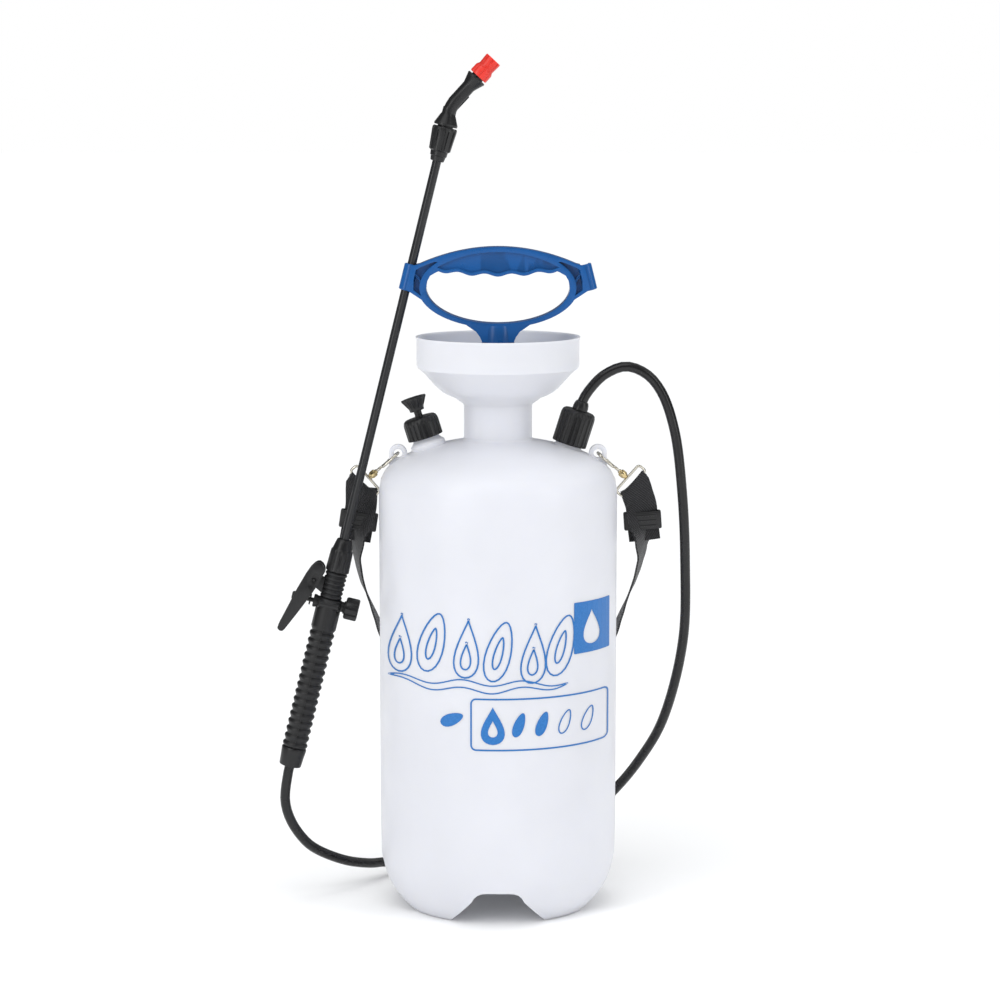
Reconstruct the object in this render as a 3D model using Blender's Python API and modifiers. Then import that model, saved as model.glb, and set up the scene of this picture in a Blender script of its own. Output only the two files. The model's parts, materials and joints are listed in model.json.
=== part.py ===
"""Pump sprayer: tank with funnel, pump, lance with lever valve, hose and strap.

Metres, +Z up. The model is laid out with the tank's axis at x = y = 0 and its feet on
z = 0; the last step moves everything so that the object without its hose is centred.
"""
import math

import bmesh
import bpy
from mathutils import Matrix, Vector

# ---------------------------------------------------------------- driving dimensions
GAP = 0.0003               # kept between pieces that touch
RUN = 0.0003               # radial clearance of what turns or slides in a bore

TANK_RADIUS = 0.0945
TANK_WALL = 0.0025
SHOULDER_Z = 0.336         # where the straight side ends
NECK_RADIUS = 0.027
NECK_BASE_Z = SHOULDER_Z + 0.0382
NECK_TOP_Z = NECK_BASE_Z + 0.0288
FUNNEL_RADIUS = 0.0645
FUNNEL_RIM_Z = NECK_TOP_Z + 0.054
FOOT_TAPER_Z = 0.038       # the side starts to taper to the feet here
FOOT_RADIUS = 0.074
ARCH_HEIGHT = 0.028
ARCH_TOP_HALF = 0.016
ARCH_FOOT_HALF = 0.038
LUG_X = TANK_RADIUS - 0.015
LUG_HOLE_Z = SHOULDER_Z + 0.028
LUG_HOLE_RADIUS = 0.0035
LUG_THICKNESS = 0.0055

PORT_TILT = math.radians(17.5)
PORT_RADIUS = 0.010
PORT_BORE = 0.007
OUTLET_X, OUTLET_Z = TANK_RADIUS - 0.038, SHOULDER_Z + 0.0356
RELIEF_X, RELIEF_Z = 0.037 - TANK_RADIUS, SHOULDER_Z + 0.0408
OUTLET_NUT_RADIUS = 0.0139
OUTLET_NUT_LENGTH = 0.0278
OUTLET_NECK_TOP = 0.014
RELIEF_CAP_RADIUS = 0.01425
RELIEF_CAP_HEIGHT = 0.017
RELIEF_NECK_TOP = 0.010
RELIEF_SEAT = -0.006       # where the relief seal meets its bore, along the port

BARREL_RADIUS = 0.020
BARREL_WALL = 0.0025
BARREL_BOTTOM_Z = 0.150
HEAD_RADIUS = 0.0292
HEAD_FLANGE = 0.0046
ROD_RADIUS = 0.007
ROD_SOCKET_DEPTH = 0.030
PISTON_TOP_Z = 0.190
PISTON_HEIGHT = 0.018
DIP_TUBE_RADIUS = 0.004
DIP_TUBE_X = 0.043
DIP_TUBE_END_Z = 0.062

HANDLE_TOP_Z = NECK_TOP_Z + 0.125
HANDLE_MID_Z = NECK_TOP_Z + 0.093
HANDLE_DROP = 0.0135       # fall of the top edge from the middle to the ends
HANDLE_END = 0.062
RING_HALF_WIDTH = 0.063
RING_HALF_HEIGHT = 0.0318
RING_WALL = 0.0055
HANDLE_HALF_DEPTH = 0.010
HANDLE_NECK_RADIUS = 0.013
CLIP_X, CLIP_Y, CLIP_Z = 0.0704, -0.003, NECK_TOP_Z + 0.101
CLIP_LENGTH = 0.021
CLIP_WALL = 0.0018

LANCE_ASIDE = 0.01748      # from the tank's straight side to the lance at the shoulder
LANCE_TILT = math.atan((TANK_RADIUS + LANCE_ASIDE - CLIP_X) / (CLIP_Z - SHOULDER_Z))
LANCE_RADIUS = 0.0035
LANCE_TOP = 0.106          # along the lance, from the handle's clip
LANCE_BOTTOM = -0.228
UPPER_NUT = (0.0937, 0.121)
LOWER_NUT = (-0.242, -0.2153)
BEND_AT = 0.1374
NOZZLE_BEND = math.radians(29.0)
ELBOW_RADIUS = 0.00525
NOZZLE_CAP = (0.032, 0.050)
VALVE_AT = -0.2689
BODY_RADIUS = 0.00985
BODY_TOP = -0.257
RIBS_TOP = -0.2905
RIB_COUNT = 16
RIB_PITCH = 0.00615
RIB_RADIUS = 0.0101
RIB_VALLEY = 0.0087
SPIGOT_RADIUS = 0.0065     # threaded ends of the grip body
SPIGOT_LENGTH = 0.0095
GRIP_BORE = 0.003
END_NUT_LENGTH = 0.0154
PIVOT_OUT, PIVOT_AT = 0.0162, -0.2523
TRIGGER_ANGLE = math.radians(19.2)
TRIGGER_LENGTH = 0.0475    # below the pivot
TRIGGER_CHEEK = 0.0062
TRIGGER_SLOT = 0.0036      # half the gap between the two cheeks
STEM_RADIUS = 0.0018
CHAMBER = (0.008, 0.019)   # along the cross tube, from the grip's axis
CHAMBER_RADIUS = 0.0036

HOSE_RADIUS = 0.004
STRAP_WIDTH = 0.025
STRAP_THICKNESS = 0.0016
HOOK_DROP = math.radians(41.4)
HOOK_LENGTH = 0.0245
HOOK_HALF_WIDTH = 0.0052
HOOK_WIRE = 0.0012
HOOK_BACK = 0.0045         # how far a hook leans back on its way to the ring
HOOK_KINK = 0.0045         # bend of its shank behind the lug
HOOK_NOSE = 0.0115         # where the open end of the hook stops and its gate starts
SWIVEL_LENGTH = 0.0068
RING_LENGTH, RING_HEIGHT = 0.030, 0.010
RING_WIRE = 0.0011
STRAP_LEFT_SHIFT = 0.006   # the left drop hangs this much nearer to the tank
STRAP_LUG = (0.0795, 0.364)  # where the lug holes were when STRAP_DROP was laid out
STRAP_BACK = 0.0095        # between the tank's side and the strap's middle behind it

# Route of the hose: out of the outlet, over and down the right side, along the floor
# behind the tank and up to the grip. The two ends are worked out from what they meet.
HOSE_ROUTE = [
    (0.0750, 0.000, 0.4176), (0.0852, 0.000, 0.4271), (0.1015, 0.000, 0.4331),
    (0.1177, 0.000, 0.4271), (0.1297, 0.000, 0.4128), (0.1403, 0.001, 0.3822),
    (0.1467, 0.002, 0.3341), (0.1500, 0.008, 0.2767), (0.1497, 0.022, 0.2090),
    (0.1350, 0.048, 0.1376), (0.1169, 0.070, 0.0992), (0.0979, 0.090, 0.0700),
    (0.0700, 0.104, 0.0390), (0.0350, 0.110, 0.0140), (-0.0050, 0.109, 0.0052),
    (-0.0450, 0.101, 0.0046), (-0.0760, 0.086, 0.0065), (-0.0936, 0.074, 0.0115),
    (-0.1062, 0.056, 0.0152), (-0.1258, 0.036, 0.0229), (-0.1466, 0.020, 0.0353),
    (-0.1566, 0.010, 0.0457), (-0.1673, 0.001, 0.0643), (-0.1717, -0.0025, 0.0818),
]

# Strap, from a ring down to the lowest point behind the tank: middle line, then the way its
# width points, as a turn from the x axis and a lift from level, both in degrees.
STRAP_DROP = [
    (0.1130, 0.0135, 0.3300, 0, 0), (0.1148, 0.0135, 0.3200, 0, 0),
    (0.1160, 0.0140, 0.3080, 0, 0), (0.1170, 0.0155, 0.2950, 4, 0),
    (0.1172, 0.0200, 0.2800, 16, 0), (0.1155, 0.0290, 0.2640, 34, 0),
    (0.1120, 0.0410, 0.2480, 52, 0), (0.1070, 0.0550, 0.2310, 68, 4),
    (0.0995, 0.0700, 0.2120, 84, 12), (0.0870, 0.0840, 0.1880, 95, 25),
    (0.0690, 0.0950, 0.1640, 100, 45), (0.0470, 0.1010, 0.1430, 110, 65),
    (0.0230, 0.1035, 0.1300, 100, 80), (0.0, 0.1040, 0.1260, 90, 90),
]

COLOURS = {
    "tank_plastic": ((0.80, 0.81, 0.84), 0.45, 0.0),
    "black_plastic": ((0.022, 0.022, 0.024), 0.38, 0.0),
    "blue_plastic": ((0.002, 0.085, 0.30), 0.32, 0.0),
    "red_plastic": ((0.62, 0.02, 0.015), 0.35, 0.0),
    "grey_plastic": ((0.30, 0.31, 0.33), 0.45, 0.0),
    "lance_tube": ((0.035, 0.035, 0.038), 0.30, 0.0),
    "rubber": ((0.015, 0.015, 0.015), 0.75, 0.0),
    "hose_rubber": ((0.013, 0.013, 0.014), 0.42, 0.0),
    "webbing": ((0.012, 0.012, 0.013), 0.90, 0.0),
    "nickel": ((0.70, 0.67, 0.60), 0.25, 1.0),
    "spring_steel": ((0.55, 0.56, 0.58), 0.30, 1.0),
    "clear_plastic": ((0.72, 0.76, 0.78), 0.25, 0.0),
}


# ---------------------------------------------------------------- scene helpers
def clear_scene():
    for thing in list(bpy.data.objects):
        bpy.data.objects.remove(thing, do_unlink=True)


def new_collection(name):
    group = bpy.data.collections.new(name)
    bpy.context.scene.collection.children.link(group)
    return group


def get_material(name):
    if name in bpy.data.materials:
        return bpy.data.materials[name]
    colour, roughness, metallic = COLOURS[name]
    material = bpy.data.materials.new(name)
    material.use_nodes = True
    shader = material.node_tree.nodes["Principled BSDF"]
    shader.inputs["Base Color"].default_value = (*colour, 1.0)
    shader.inputs["Roughness"].default_value = roughness
    shader.inputs["Metallic"].default_value = metallic
    material.diffuse_color = (*colour, 1.0)
    return material


def make_frame(name, location, tilt=0.0, parent=None):
    """An empty whose local +Z is a joint's axis, tilted about world or parent Y."""
    empty = bpy.data.objects.new(name, None)
    empty.empty_display_size = 0.02
    empty.location = location
    empty.rotation_euler = (0.0, tilt, 0.0)
    empty.parent = parent
    PARTS.objects.link(empty)
    return empty


def add_object(name, data, frame, material=None):
    thing = bpy.data.objects.new(name, data)
    thing.parent = frame
    if material is None:
        thing.hide_render = True
        thing.display_type = "WIRE"
        CUTTERS.objects.link(thing)
    else:
        data.materials.append(get_material(material))
        PARTS.objects.link(thing)
    return thing


def apply_boolean(thing, other, operation):
    modifier = thing.modifiers.new(f"{operation}_{other.name}"[:60], "BOOLEAN")
    modifier.operation = operation
    modifier.solver = "EXACT"
    modifier.object = other


def cut(thing, *others):
    """Cut all the others away at once, which keeps faces with several holes sound."""
    first, *rest = others
    join(first, *rest)
    apply_boolean(thing, first, "DIFFERENCE")


def join(thing, *others):
    for other in others:
        apply_boolean(thing, other, "UNION")


# ---------------------------------------------------------------- shape helpers
def turned(name, points, frame, material=None, steps=20, closed=False):
    """A turned shape: (radius, height) points down the outer side, spun by Screw."""
    mesh = bpy.data.meshes.new(name)
    edges = [(i, i + 1) for i in range(len(points) - 1)]
    if closed:
        edges.append((len(points) - 1, 0))
    mesh.from_pydata([(r, 0.0, z) for r, z in points], edges, [])
    thing = add_object(name, mesh, frame, material)
    screw = thing.modifiers.new("Screw", "SCREW")
    screw.axis = "Z"
    screw.steps = screw.render_steps = steps
    screw.use_merge_vertices = True
    screw.merge_threshold = 0.00001
    screw.use_smooth_shade = False
    return thing


def cylinder(name, radius, low, high, frame, material=None, steps=20):
    points = [(0.0, high), (radius, high), (radius, low), (0.0, low)]
    return turned(name, points, frame, material, steps)


def ring(name, inner, outer, low, high, frame, material=None, steps=20):
    points = [(inner, high), (outer, high), (outer, low), (inner, low)]
    return turned(name, points, frame, material, steps, closed=True)


def cup(name, outer, inner, hole, low, floor, high, frame, material, steps=20, chamfer=0.001):
    """A nut or cap: wide bore from `low` to `floor`, then a wall with a hole to `high`."""
    points = [(hole, high), (outer - chamfer, high), (outer, high - chamfer), (outer, low),
              (inner, low), (inner, floor), (hole, floor)]
    return turned(name, points, frame, material, steps, closed=True)


def flat_plate(name, outline, half_depth, frame, material=None, at_y=0.0):
    """A flat shape from its outline in X and Z, as thick as two half depths in Y."""
    curve = bpy.data.curves.new(name + "_outline", "CURVE")
    curve.dimensions = "2D"
    curve.fill_mode = "BOTH"
    curve.extrude = half_depth
    spline = curve.splines.new("POLY")
    spline.points.add(len(outline) - 1)
    for point, (x, z) in zip(spline.points, outline):
        point.co = (x, z, 0.0, 1.0)
    spline.use_cyclic_u = True
    holder = bpy.data.objects.new(name + "_outline", curve)
    bpy.context.scene.collection.objects.link(holder)
    bpy.context.view_layer.update()
    mesh = bpy.data.meshes.new_from_object(
        holder.evaluated_get(bpy.context.evaluated_depsgraph_get()))
    bpy.data.objects.remove(holder, do_unlink=True)
    mesh.name = name
    mesh.transform(Matrix.Translation((0.0, at_y, 0.0)) @ Matrix.Rotation(math.pi / 2, 4, "X"))
    weld_mesh(mesh)
    mesh.materials.clear()
    return add_object(name, mesh, frame, material)


def weld_mesh(mesh):
    shape = bmesh.new()
    shape.from_mesh(mesh)
    bmesh.ops.remove_doubles(shape, verts=shape.verts, dist=0.000001)
    bmesh.ops.recalc_face_normals(shape, faces=shape.faces)
    shape.to_mesh(mesh)
    shape.free()


def box(name, low, high, frame, material=None):
    shape = bmesh.new()
    bmesh.ops.create_cube(shape, size=1.0)
    size = Vector(high) - Vector(low)
    middle = (Vector(high) + Vector(low)) / 2
    bmesh.ops.scale(shape, vec=size, verts=shape.verts)
    bmesh.ops.translate(shape, vec=middle, verts=shape.verts)
    mesh = bpy.data.meshes.new(name)
    shape.to_mesh(mesh)
    shape.free()
    return add_object(name, mesh, frame, material)


def wire(name, points, radius, frame, material=None, cyclic=False, resolution=2, as_mesh=False):
    """A tube on a polyline; as a welded mesh where it will be cut or joined."""
    curve = bpy.data.curves.new(name, "CURVE")
    curve.dimensions = "3D"
    curve.bevel_depth = radius
    curve.bevel_resolution = resolution
    curve.use_fill_caps = not cyclic
    spline = curve.splines.new("POLY")
    spline.points.add(len(points) - 1)
    for point, place in zip(spline.points, points):
        point.co = (*place, 1.0)
    spline.use_cyclic_u = cyclic
    if not as_mesh:
        return add_object(name, curve, frame, material)
    holder = bpy.data.objects.new(name + "_path", curve)
    bpy.context.scene.collection.objects.link(holder)
    bpy.context.view_layer.update()
    mesh = bpy.data.meshes.new_from_object(
        holder.evaluated_get(bpy.context.evaluated_depsgraph_get()))
    bpy.data.objects.remove(holder, do_unlink=True)
    mesh.name = name
    weld_mesh(mesh)
    mesh.materials.clear()
    return add_object(name, mesh, frame, material)


def smooth_points(route, spacing):
    """Points at an even spacing on a centripetal spline through the route's points."""
    points = [Vector(p) for p in route]
    points = [2 * points[0] - points[1], *points, 2 * points[-1] - points[-2]]
    fine = []
    for p0, p1, p2, p3 in zip(points, points[1:], points[2:], points[3:]):
        t1 = (p1 - p0).length ** 0.5
        t2 = t1 + (p2 - p1).length ** 0.5
        t3 = t2 + (p3 - p2).length ** 0.5
        for step in range(24):
            t = t1 + (t2 - t1) * step / 24
            a1 = p0.lerp(p1, t / t1)
            a2 = p1.lerp(p2, (t - t1) / (t2 - t1))
            a3 = p2.lerp(p3, (t - t2) / (t3 - t2))
            b1 = a1.lerp(a2, t / t2)
            b2 = a2.lerp(a3, (t - t1) / (t3 - t1))
            fine.append(b1.lerp(b2, (t - t1) / (t2 - t1)))
    fine.append(points[-2])
    return even_points(fine, spacing)


def even_points(fine, spacing):
    lengths = [0.0]
    for a, b in zip(fine, fine[1:]):
        lengths.append(lengths[-1] + (b - a).length)
    count = max(2, round(lengths[-1] / spacing))
    result = []
    index = 0
    for i in range(count + 1):
        wanted = lengths[-1] * i / count
        while index < len(fine) - 2 and lengths[index + 1] < wanted:
            index += 1
        share = (wanted - lengths[index]) / (lengths[index + 1] - lengths[index])
        result.append(fine[index].lerp(fine[index + 1], min(1.0, max(0.0, share))))
    return result


def coil(name, radius, wire_radius, low, high, turns, frame, material):
    """A compression spring along local Z."""
    per_turn = 10
    count = turns * per_turn
    start, end = low + wire_radius, high - wire_radius
    points = [(radius * math.cos(2 * math.pi * i / per_turn),
               radius * math.sin(2 * math.pi * i / per_turn),
               start + (end - start) * i / count) for i in range(count + 1)]
    return wire(name, points, wire_radius, frame, material, resolution=0)


# ---------------------------------------------------------------- tank
def funnel_profile():
    """Outer side of funnel and neck, from the rim down."""
    seat = NECK_TOP_Z
    slope_low, slope_high = (0.0437, seat + 0.010), (FUNNEL_RADIUS - 0.0008, seat + 0.0292)
    return [(FUNNEL_RADIUS + 0.0008, FUNNEL_RIM_Z), (FUNNEL_RADIUS, FUNNEL_RIM_Z - 0.003),
            (FUNNEL_RADIUS, seat + 0.032), slope_high,
            slope_low, (0.0400, seat + 0.008), (NECK_RADIUS + 0.0044, seat + 0.0034),
            (NECK_RADIUS, seat)]


def shoulder_profile():
    """From the neck's foot out and down to the straight side."""
    drop = NECK_BASE_Z - SHOULDER_Z
    shares = [(0.21, 0.04), (0.44, 0.13), (0.58, 0.22), (0.74, 0.35), (0.85, 0.47),
              (0.935, 0.63), (0.985, 0.80), (1.0, 1.0)]
    span = TANK_RADIUS - NECK_RADIUS
    points = [(NECK_RADIUS, NECK_BASE_Z + 0.0008)]
    points += [(NECK_RADIUS + span * a, NECK_BASE_Z - drop * b) for a, b in shares]
    return points


def foot_profile():
    bottom = TANK_RADIUS - 0.001
    return [(bottom, FOOT_TAPER_Z), (bottom - 0.0035, FOOT_TAPER_Z * 0.62),
            (FOOT_RADIUS + 0.0075, FOOT_TAPER_Z * 0.22), (FOOT_RADIUS, 0.0)]


def arch_outline(extra):
    """Cross section of the arch between two feet, grown by `extra` for the inner wall."""
    top = ARCH_HEIGHT + extra
    slope = (ARCH_FOOT_HALF - ARCH_TOP_HALF) / ARCH_HEIGHT
    low = -0.002
    return [(-ARCH_FOOT_HALF - extra * 1.5 - slope * 0.002, low), (ARCH_FOOT_HALF + extra * 1.5
            + slope * 0.002, low), (ARCH_TOP_HALF + extra * 0.6, top),
            (-ARCH_TOP_HALF - extra * 0.6, top)]


def cut_arches(thing, name, extra, frame):
    reach = TANK_RADIUS * 1.2
    for turn, side in ((0.0, "front"), (math.pi / 2, "side")):
        arch = flat_plate(f"{name}_{side}", arch_outline(extra), reach, frame)
        arch.rotation_euler = (0.0, 0.0, turn)
        cut(thing, arch)


def make_tank(root, outlet, relief):
    outer = funnel_profile() + shoulder_profile() + foot_profile()
    tank = turned("tank", [(0.0, FUNNEL_RIM_Z), *outer, (0.0, 0.0)], root, "tank_plastic",
                  steps=32)
    inner = [(0.0, FUNNEL_RIM_Z + 0.01), (FUNNEL_RADIUS - TANK_WALL, FUNNEL_RIM_Z + 0.01)]
    seat = NECK_TOP_Z
    inner += [(FUNNEL_RADIUS - TANK_WALL, seat + 0.033),
              (FUNNEL_RADIUS - TANK_WALL - 0.0015, seat + 0.0305), (0.0425, seat + 0.0125),
              (0.0390, seat + 0.0105), (NECK_RADIUS + 0.004, seat + 0.0057),
              (NECK_RADIUS - TANK_WALL, seat + 0.0056),
              (NECK_RADIUS - TANK_WALL, NECK_BASE_Z - TANK_WALL)]
    inner += [(r - TANK_WALL * 0.45, z - TANK_WALL) for r, z in shoulder_profile()[1:5]]
    inner += [(r - TANK_WALL, z - TANK_WALL * 0.7) for r, z in shoulder_profile()[5:]]
    inner += [(r - TANK_WALL, z + TANK_WALL * 0.5) for r, z in foot_profile()[:3]]
    inner += [(FOOT_RADIUS, 0.004), (0.0, 0.004)]
    hollow = turned("tank_hollow", inner, root, steps=32)
    cut_arches(hollow, "inner_arch", 0.003, root)
    cut_arches(tank, "outer_arch", 0.0, root)
    for side, frame, top, deep in (("outlet", outlet, OUTLET_NECK_TOP, -0.010),
                                   ("relief", relief, RELIEF_NECK_TOP, -0.014)):
        join(tank, cylinder(f"{side}_neck", PORT_RADIUS, deep, top, frame))
    for side in (-1, 1):
        lug = lug_outline(side)
        join(tank, flat_plate(f"lug_{side}", lug, LUG_THICKNESS / 2, root))
    holes = [cylinder("outlet_bore", PORT_BORE, -0.020, 0.020, outlet),
             cylinder("relief_bore", PORT_BORE, RELIEF_SEAT, 0.020, relief),
             cylinder("relief_way", 0.0042, -0.026, 0.010, relief)]
    for side in (-1, 1):
        hole = cylinder(f"lug_hole_{side}", LUG_HOLE_RADIUS, -0.01, 0.01, root)
        hole.location = (side * LUG_X, 0.0, LUG_HOLE_Z)
        hole.rotation_euler = (math.pi / 2, 0.0, 0.0)
        holes.append(hole)
    cut(tank, hollow, *holes)


def lug_outline(side):
    half, top, low = 0.0072, LUG_HOLE_Z + 0.0072, LUG_HOLE_Z - 0.014
    corner = 0.002
    points = [(-half, low), (half - 0.001, low), (half, top - corner), (half - corner, top),
              (-half + corner, top), (-half, top - corner)]
    points = [(side * (LUG_X + x), z) for x, z in points]
    return points if side > 0 else points[::-1]


# ---------------------------------------------------------------- outlet and dip tube
def make_outlet(outlet, outlet_turn):
    gasket_low = OUTLET_NECK_TOP + GAP
    gasket_top = gasket_low + 0.0016
    ring("outlet_gasket", 0.0052, PORT_RADIUS - 0.0005, gasket_low, gasket_top, outlet, "rubber")
    flange_low = gasket_top + GAP
    flange_top = flange_low + 0.003
    spigot_top = OUTLET_NUT_LENGTH + 0.0008
    spigot_low = -0.010
    fitting = [(0.0025, spigot_top), (HOSE_RADIUS, spigot_top), (HOSE_RADIUS, flange_top),
               (PORT_RADIUS - 0.0004, flange_top), (PORT_RADIUS - 0.0004, flange_low),
               (DIP_TUBE_RADIUS, flange_low), (DIP_TUBE_RADIUS, spigot_low),
               (0.0025, spigot_low)]
    turned("outlet_fitting", fitting, outlet, "black_plastic", closed=True)
    cup("outlet_nut", OUTLET_NUT_RADIUS, PORT_RADIUS + RUN, HOSE_RADIUS + RUN, 0.0,
        flange_top + GAP, OUTLET_NUT_LENGTH, outlet_turn, "black_plastic", steps=24,
        chamfer=0.0022)
    return spigot_top, spigot_low


def make_dip_tube(root, spigot_low):
    way = Vector((math.sin(PORT_TILT), 0.0, math.cos(PORT_TILT)))
    mouth = Vector((OUTLET_X, 0.0, OUTLET_Z)) + way * (spigot_low - GAP)
    route = [mouth, mouth - way * 0.012, mouth - way * 0.026,
             (DIP_TUBE_X + 0.001, 0.0, mouth.z - 0.045), (DIP_TUBE_X, 0.0, mouth.z - 0.075)]
    points = smooth_points(route, 0.008)
    points.append(Vector((DIP_TUBE_X, 0.0, DIP_TUBE_END_Z + 0.02)))
    points.append(Vector((DIP_TUBE_X, 0.0, DIP_TUBE_END_Z)))
    wire("dip_tube", points, DIP_TUBE_RADIUS, root, "clear_plastic", resolution=2)
    strainer = make_frame("strainer_frame", (DIP_TUBE_X, 0.0, DIP_TUBE_END_Z), parent=root)
    body = [(0.0, -GAP), (0.0062, -GAP), (0.0070, -0.004), (0.0070, -0.020), (0.0055, -0.024),
            (0.0, -0.024)]
    thing = turned("dip_strainer", body, strainer, "black_plastic")
    for turn in (0, 1):
        slot = box(f"strainer_slot_{turn}", (-0.009, -0.001, -0.018), (0.009, 0.001, -0.007),
                   strainer)
        slot.rotation_euler = (0.0, 0.0, turn * math.pi / 2)
        cut(thing, slot)


# ---------------------------------------------------------------- relief valve
def make_relief(relief, relief_cap, relief_pull):
    gasket_low = RELIEF_NECK_TOP + GAP
    ring("relief_gasket", PORT_BORE + 0.0002, PORT_RADIUS - 0.0002, gasket_low,
         gasket_low + 0.0012, relief, "rubber")
    floor = gasket_low + 0.0012 + GAP
    stem = 0.00325
    high = RELIEF_CAP_HEIGHT
    outer = RELIEF_CAP_RADIUS
    crown = [(stem + RUN, high), (outer * 0.72, high - 0.0004), (outer * 0.92, high - 0.002),
             (outer, high - 0.0045), (outer, 0.0), (PORT_RADIUS + RUN, 0.0),
             (PORT_RADIUS + RUN, floor), (stem + RUN, floor)]
    turned("relief_cap", crown, relief_cap, "black_plastic", steps=24, closed=True)
    head_low = RELIEF_SEAT + GAP
    ring("relief_seal", 0.0022, 0.0056, head_low, head_low + 0.0015, relief_pull, "rubber")
    head_low += 0.0015 + GAP
    knob = [(0.0, 0.0330 - 0.0015), (0.0070, 0.0330 - 0.0005), (0.0103, 0.0330),
            (0.0103, 0.0318), (0.0072, 0.0262), (0.0058, 0.0238), (0.0058, 0.0221),
            (stem, 0.0221), (stem, head_low + 0.0018), (0.0056, head_low + 0.0018),
            (0.0056, head_low), (0.0018, head_low), (0.0018, RELIEF_SEAT - 0.003),
            (0.0, RELIEF_SEAT - 0.003)]
    turned("relief_knob", knob, relief_pull, "black_plastic")
    coil("relief_spring", 0.0047, 0.0004, head_low + 0.0018 + GAP, floor - GAP, 5, relief,
         "spring_steel")


# ---------------------------------------------------------------- pump
def make_pump(root, pump_turn, plunger):
    seat = NECK_TOP_Z + 0.0056
    gasket_low = seat + GAP
    gasket_top = gasket_low + 0.001
    neck_bore = NECK_RADIUS - TANK_WALL
    ring("pump_head_gasket", neck_bore - 0.0003, HEAD_RADIUS, gasket_low, gasket_top, root,
         "rubber", steps=24)
    low = gasket_top + GAP
    top = low + HEAD_FLANGE
    skirt_low = low - 0.024
    skirt = neck_bore - 0.0006
    collar = HANDLE_NECK_RADIUS + 0.0006
    head = [(ROD_RADIUS + RUN, top), (collar, top), (collar, top + 0.011),
            (collar + 0.0034, top + 0.011), (collar + 0.0034, top), (HEAD_RADIUS, top),
            (HEAD_RADIUS, low), (skirt, low), (skirt, skirt_low),
            (BARREL_RADIUS + RUN, skirt_low), (BARREL_RADIUS + RUN, low),
            (ROD_RADIUS + RUN, low)]
    thing = turned("pump_head", head, pump_turn, "black_plastic", steps=24, closed=True)
    for index in range(6):
        rib = box(f"head_rib_{index}", (collar + 0.002, -0.0013, top - 0.001),
                  (HEAD_RADIUS - 0.0015, 0.0013, top + 0.007), pump_turn)
        rib.rotation_euler = (0.0, 0.0, index * math.pi / 3)
        join(thing, rib)
    barrel_top = low - GAP
    bottom = BARREL_BOTTOM_Z
    valve_hole = 0.0022
    barrel = [(BARREL_RADIUS - BARREL_WALL, barrel_top), (BARREL_RADIUS, barrel_top),
              (BARREL_RADIUS, bottom), (valve_hole, bottom), (valve_hole, bottom + 0.003),
              (BARREL_RADIUS - BARREL_WALL, bottom + 0.003)]
    turned("pump_barrel", barrel, pump_turn, "grey_plastic", steps=24, closed=True)
    valve = [(0.0, bottom + 0.0055), (0.0034, bottom + 0.0045), (0.0034, bottom + 0.0033),
             (0.0018, bottom + 0.0033), (0.0018, bottom - GAP), (0.0075, bottom - GAP),
             (0.0068, bottom - 0.0022), (0.0, bottom - 0.0028)]
    turned("pump_check_valve", valve, pump_turn, "rubber")
    make_plunger(plunger, top)
    return top


def make_plunger(plunger, head_top):
    socket_top = head_top + ROD_SOCKET_DEPTH
    piston_low = PISTON_TOP_Z - PISTON_HEIGHT
    seat = PISTON_TOP_Z - 0.010
    cylinder("piston_rod", ROD_RADIUS, seat + GAP, socket_top - GAP, plunger, "grey_plastic")
    outer = BARREL_RADIUS - BARREL_WALL - 0.0007
    groove = outer - 0.0045
    high, low = PISTON_TOP_Z - 0.005, piston_low + 0.005
    body = [(ROD_RADIUS + RUN, PISTON_TOP_Z), (outer, PISTON_TOP_Z), (outer, high), (groove, high),
            (groove, low), (outer, low), (outer, piston_low), (0.0, piston_low)]
    body = [(0.0, seat), (ROD_RADIUS + RUN, seat), *body]
    turned("piston", body, plunger, "black_plastic", steps=24)
    lip = outer + 0.0004
    seal = [(groove + RUN, high - GAP), (outer, high - GAP), (outer, high - 0.003),
            (lip, low + 0.0012), (lip, low + GAP), (groove + 0.0015, low + GAP),
            (groove + RUN, low + 0.002)]
    turned("piston_cup", seal, plunger, "rubber", steps=24, closed=True)


# ---------------------------------------------------------------- handle
def top_edge(x):
    return HANDLE_TOP_Z - HANDLE_DROP * (x / HANDLE_END) ** 2


def finger_edge(x):
    """Underside of the grip: four finger waves on a shallow arch."""
    low = HANDLE_MID_Z + 0.0088
    return low + 0.0032 * (x / 0.046) ** 2 + 0.0011 * (1 - math.cos(2 * math.pi * x / 0.021))


def arc_points(half_width, half_height, start, end, count, middle=None):
    middle = HANDLE_MID_Z if middle is None else middle
    points = []
    for i in range(count + 1):
        angle = start + (end - start) * i / count
        points.append((half_width * math.cos(angle), middle + half_height * math.sin(angle)))
    return points


def spread(low, high, count):
    return [low + (high - low) * i / count for i in range(count + 1)]


def clip_end(height):
    """A point of the left clip's axis, `height` above its middle along the axis."""
    return (-CLIP_X + height * math.sin(LANCE_TILT), CLIP_Z + height * math.cos(LANCE_TILT))


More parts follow.
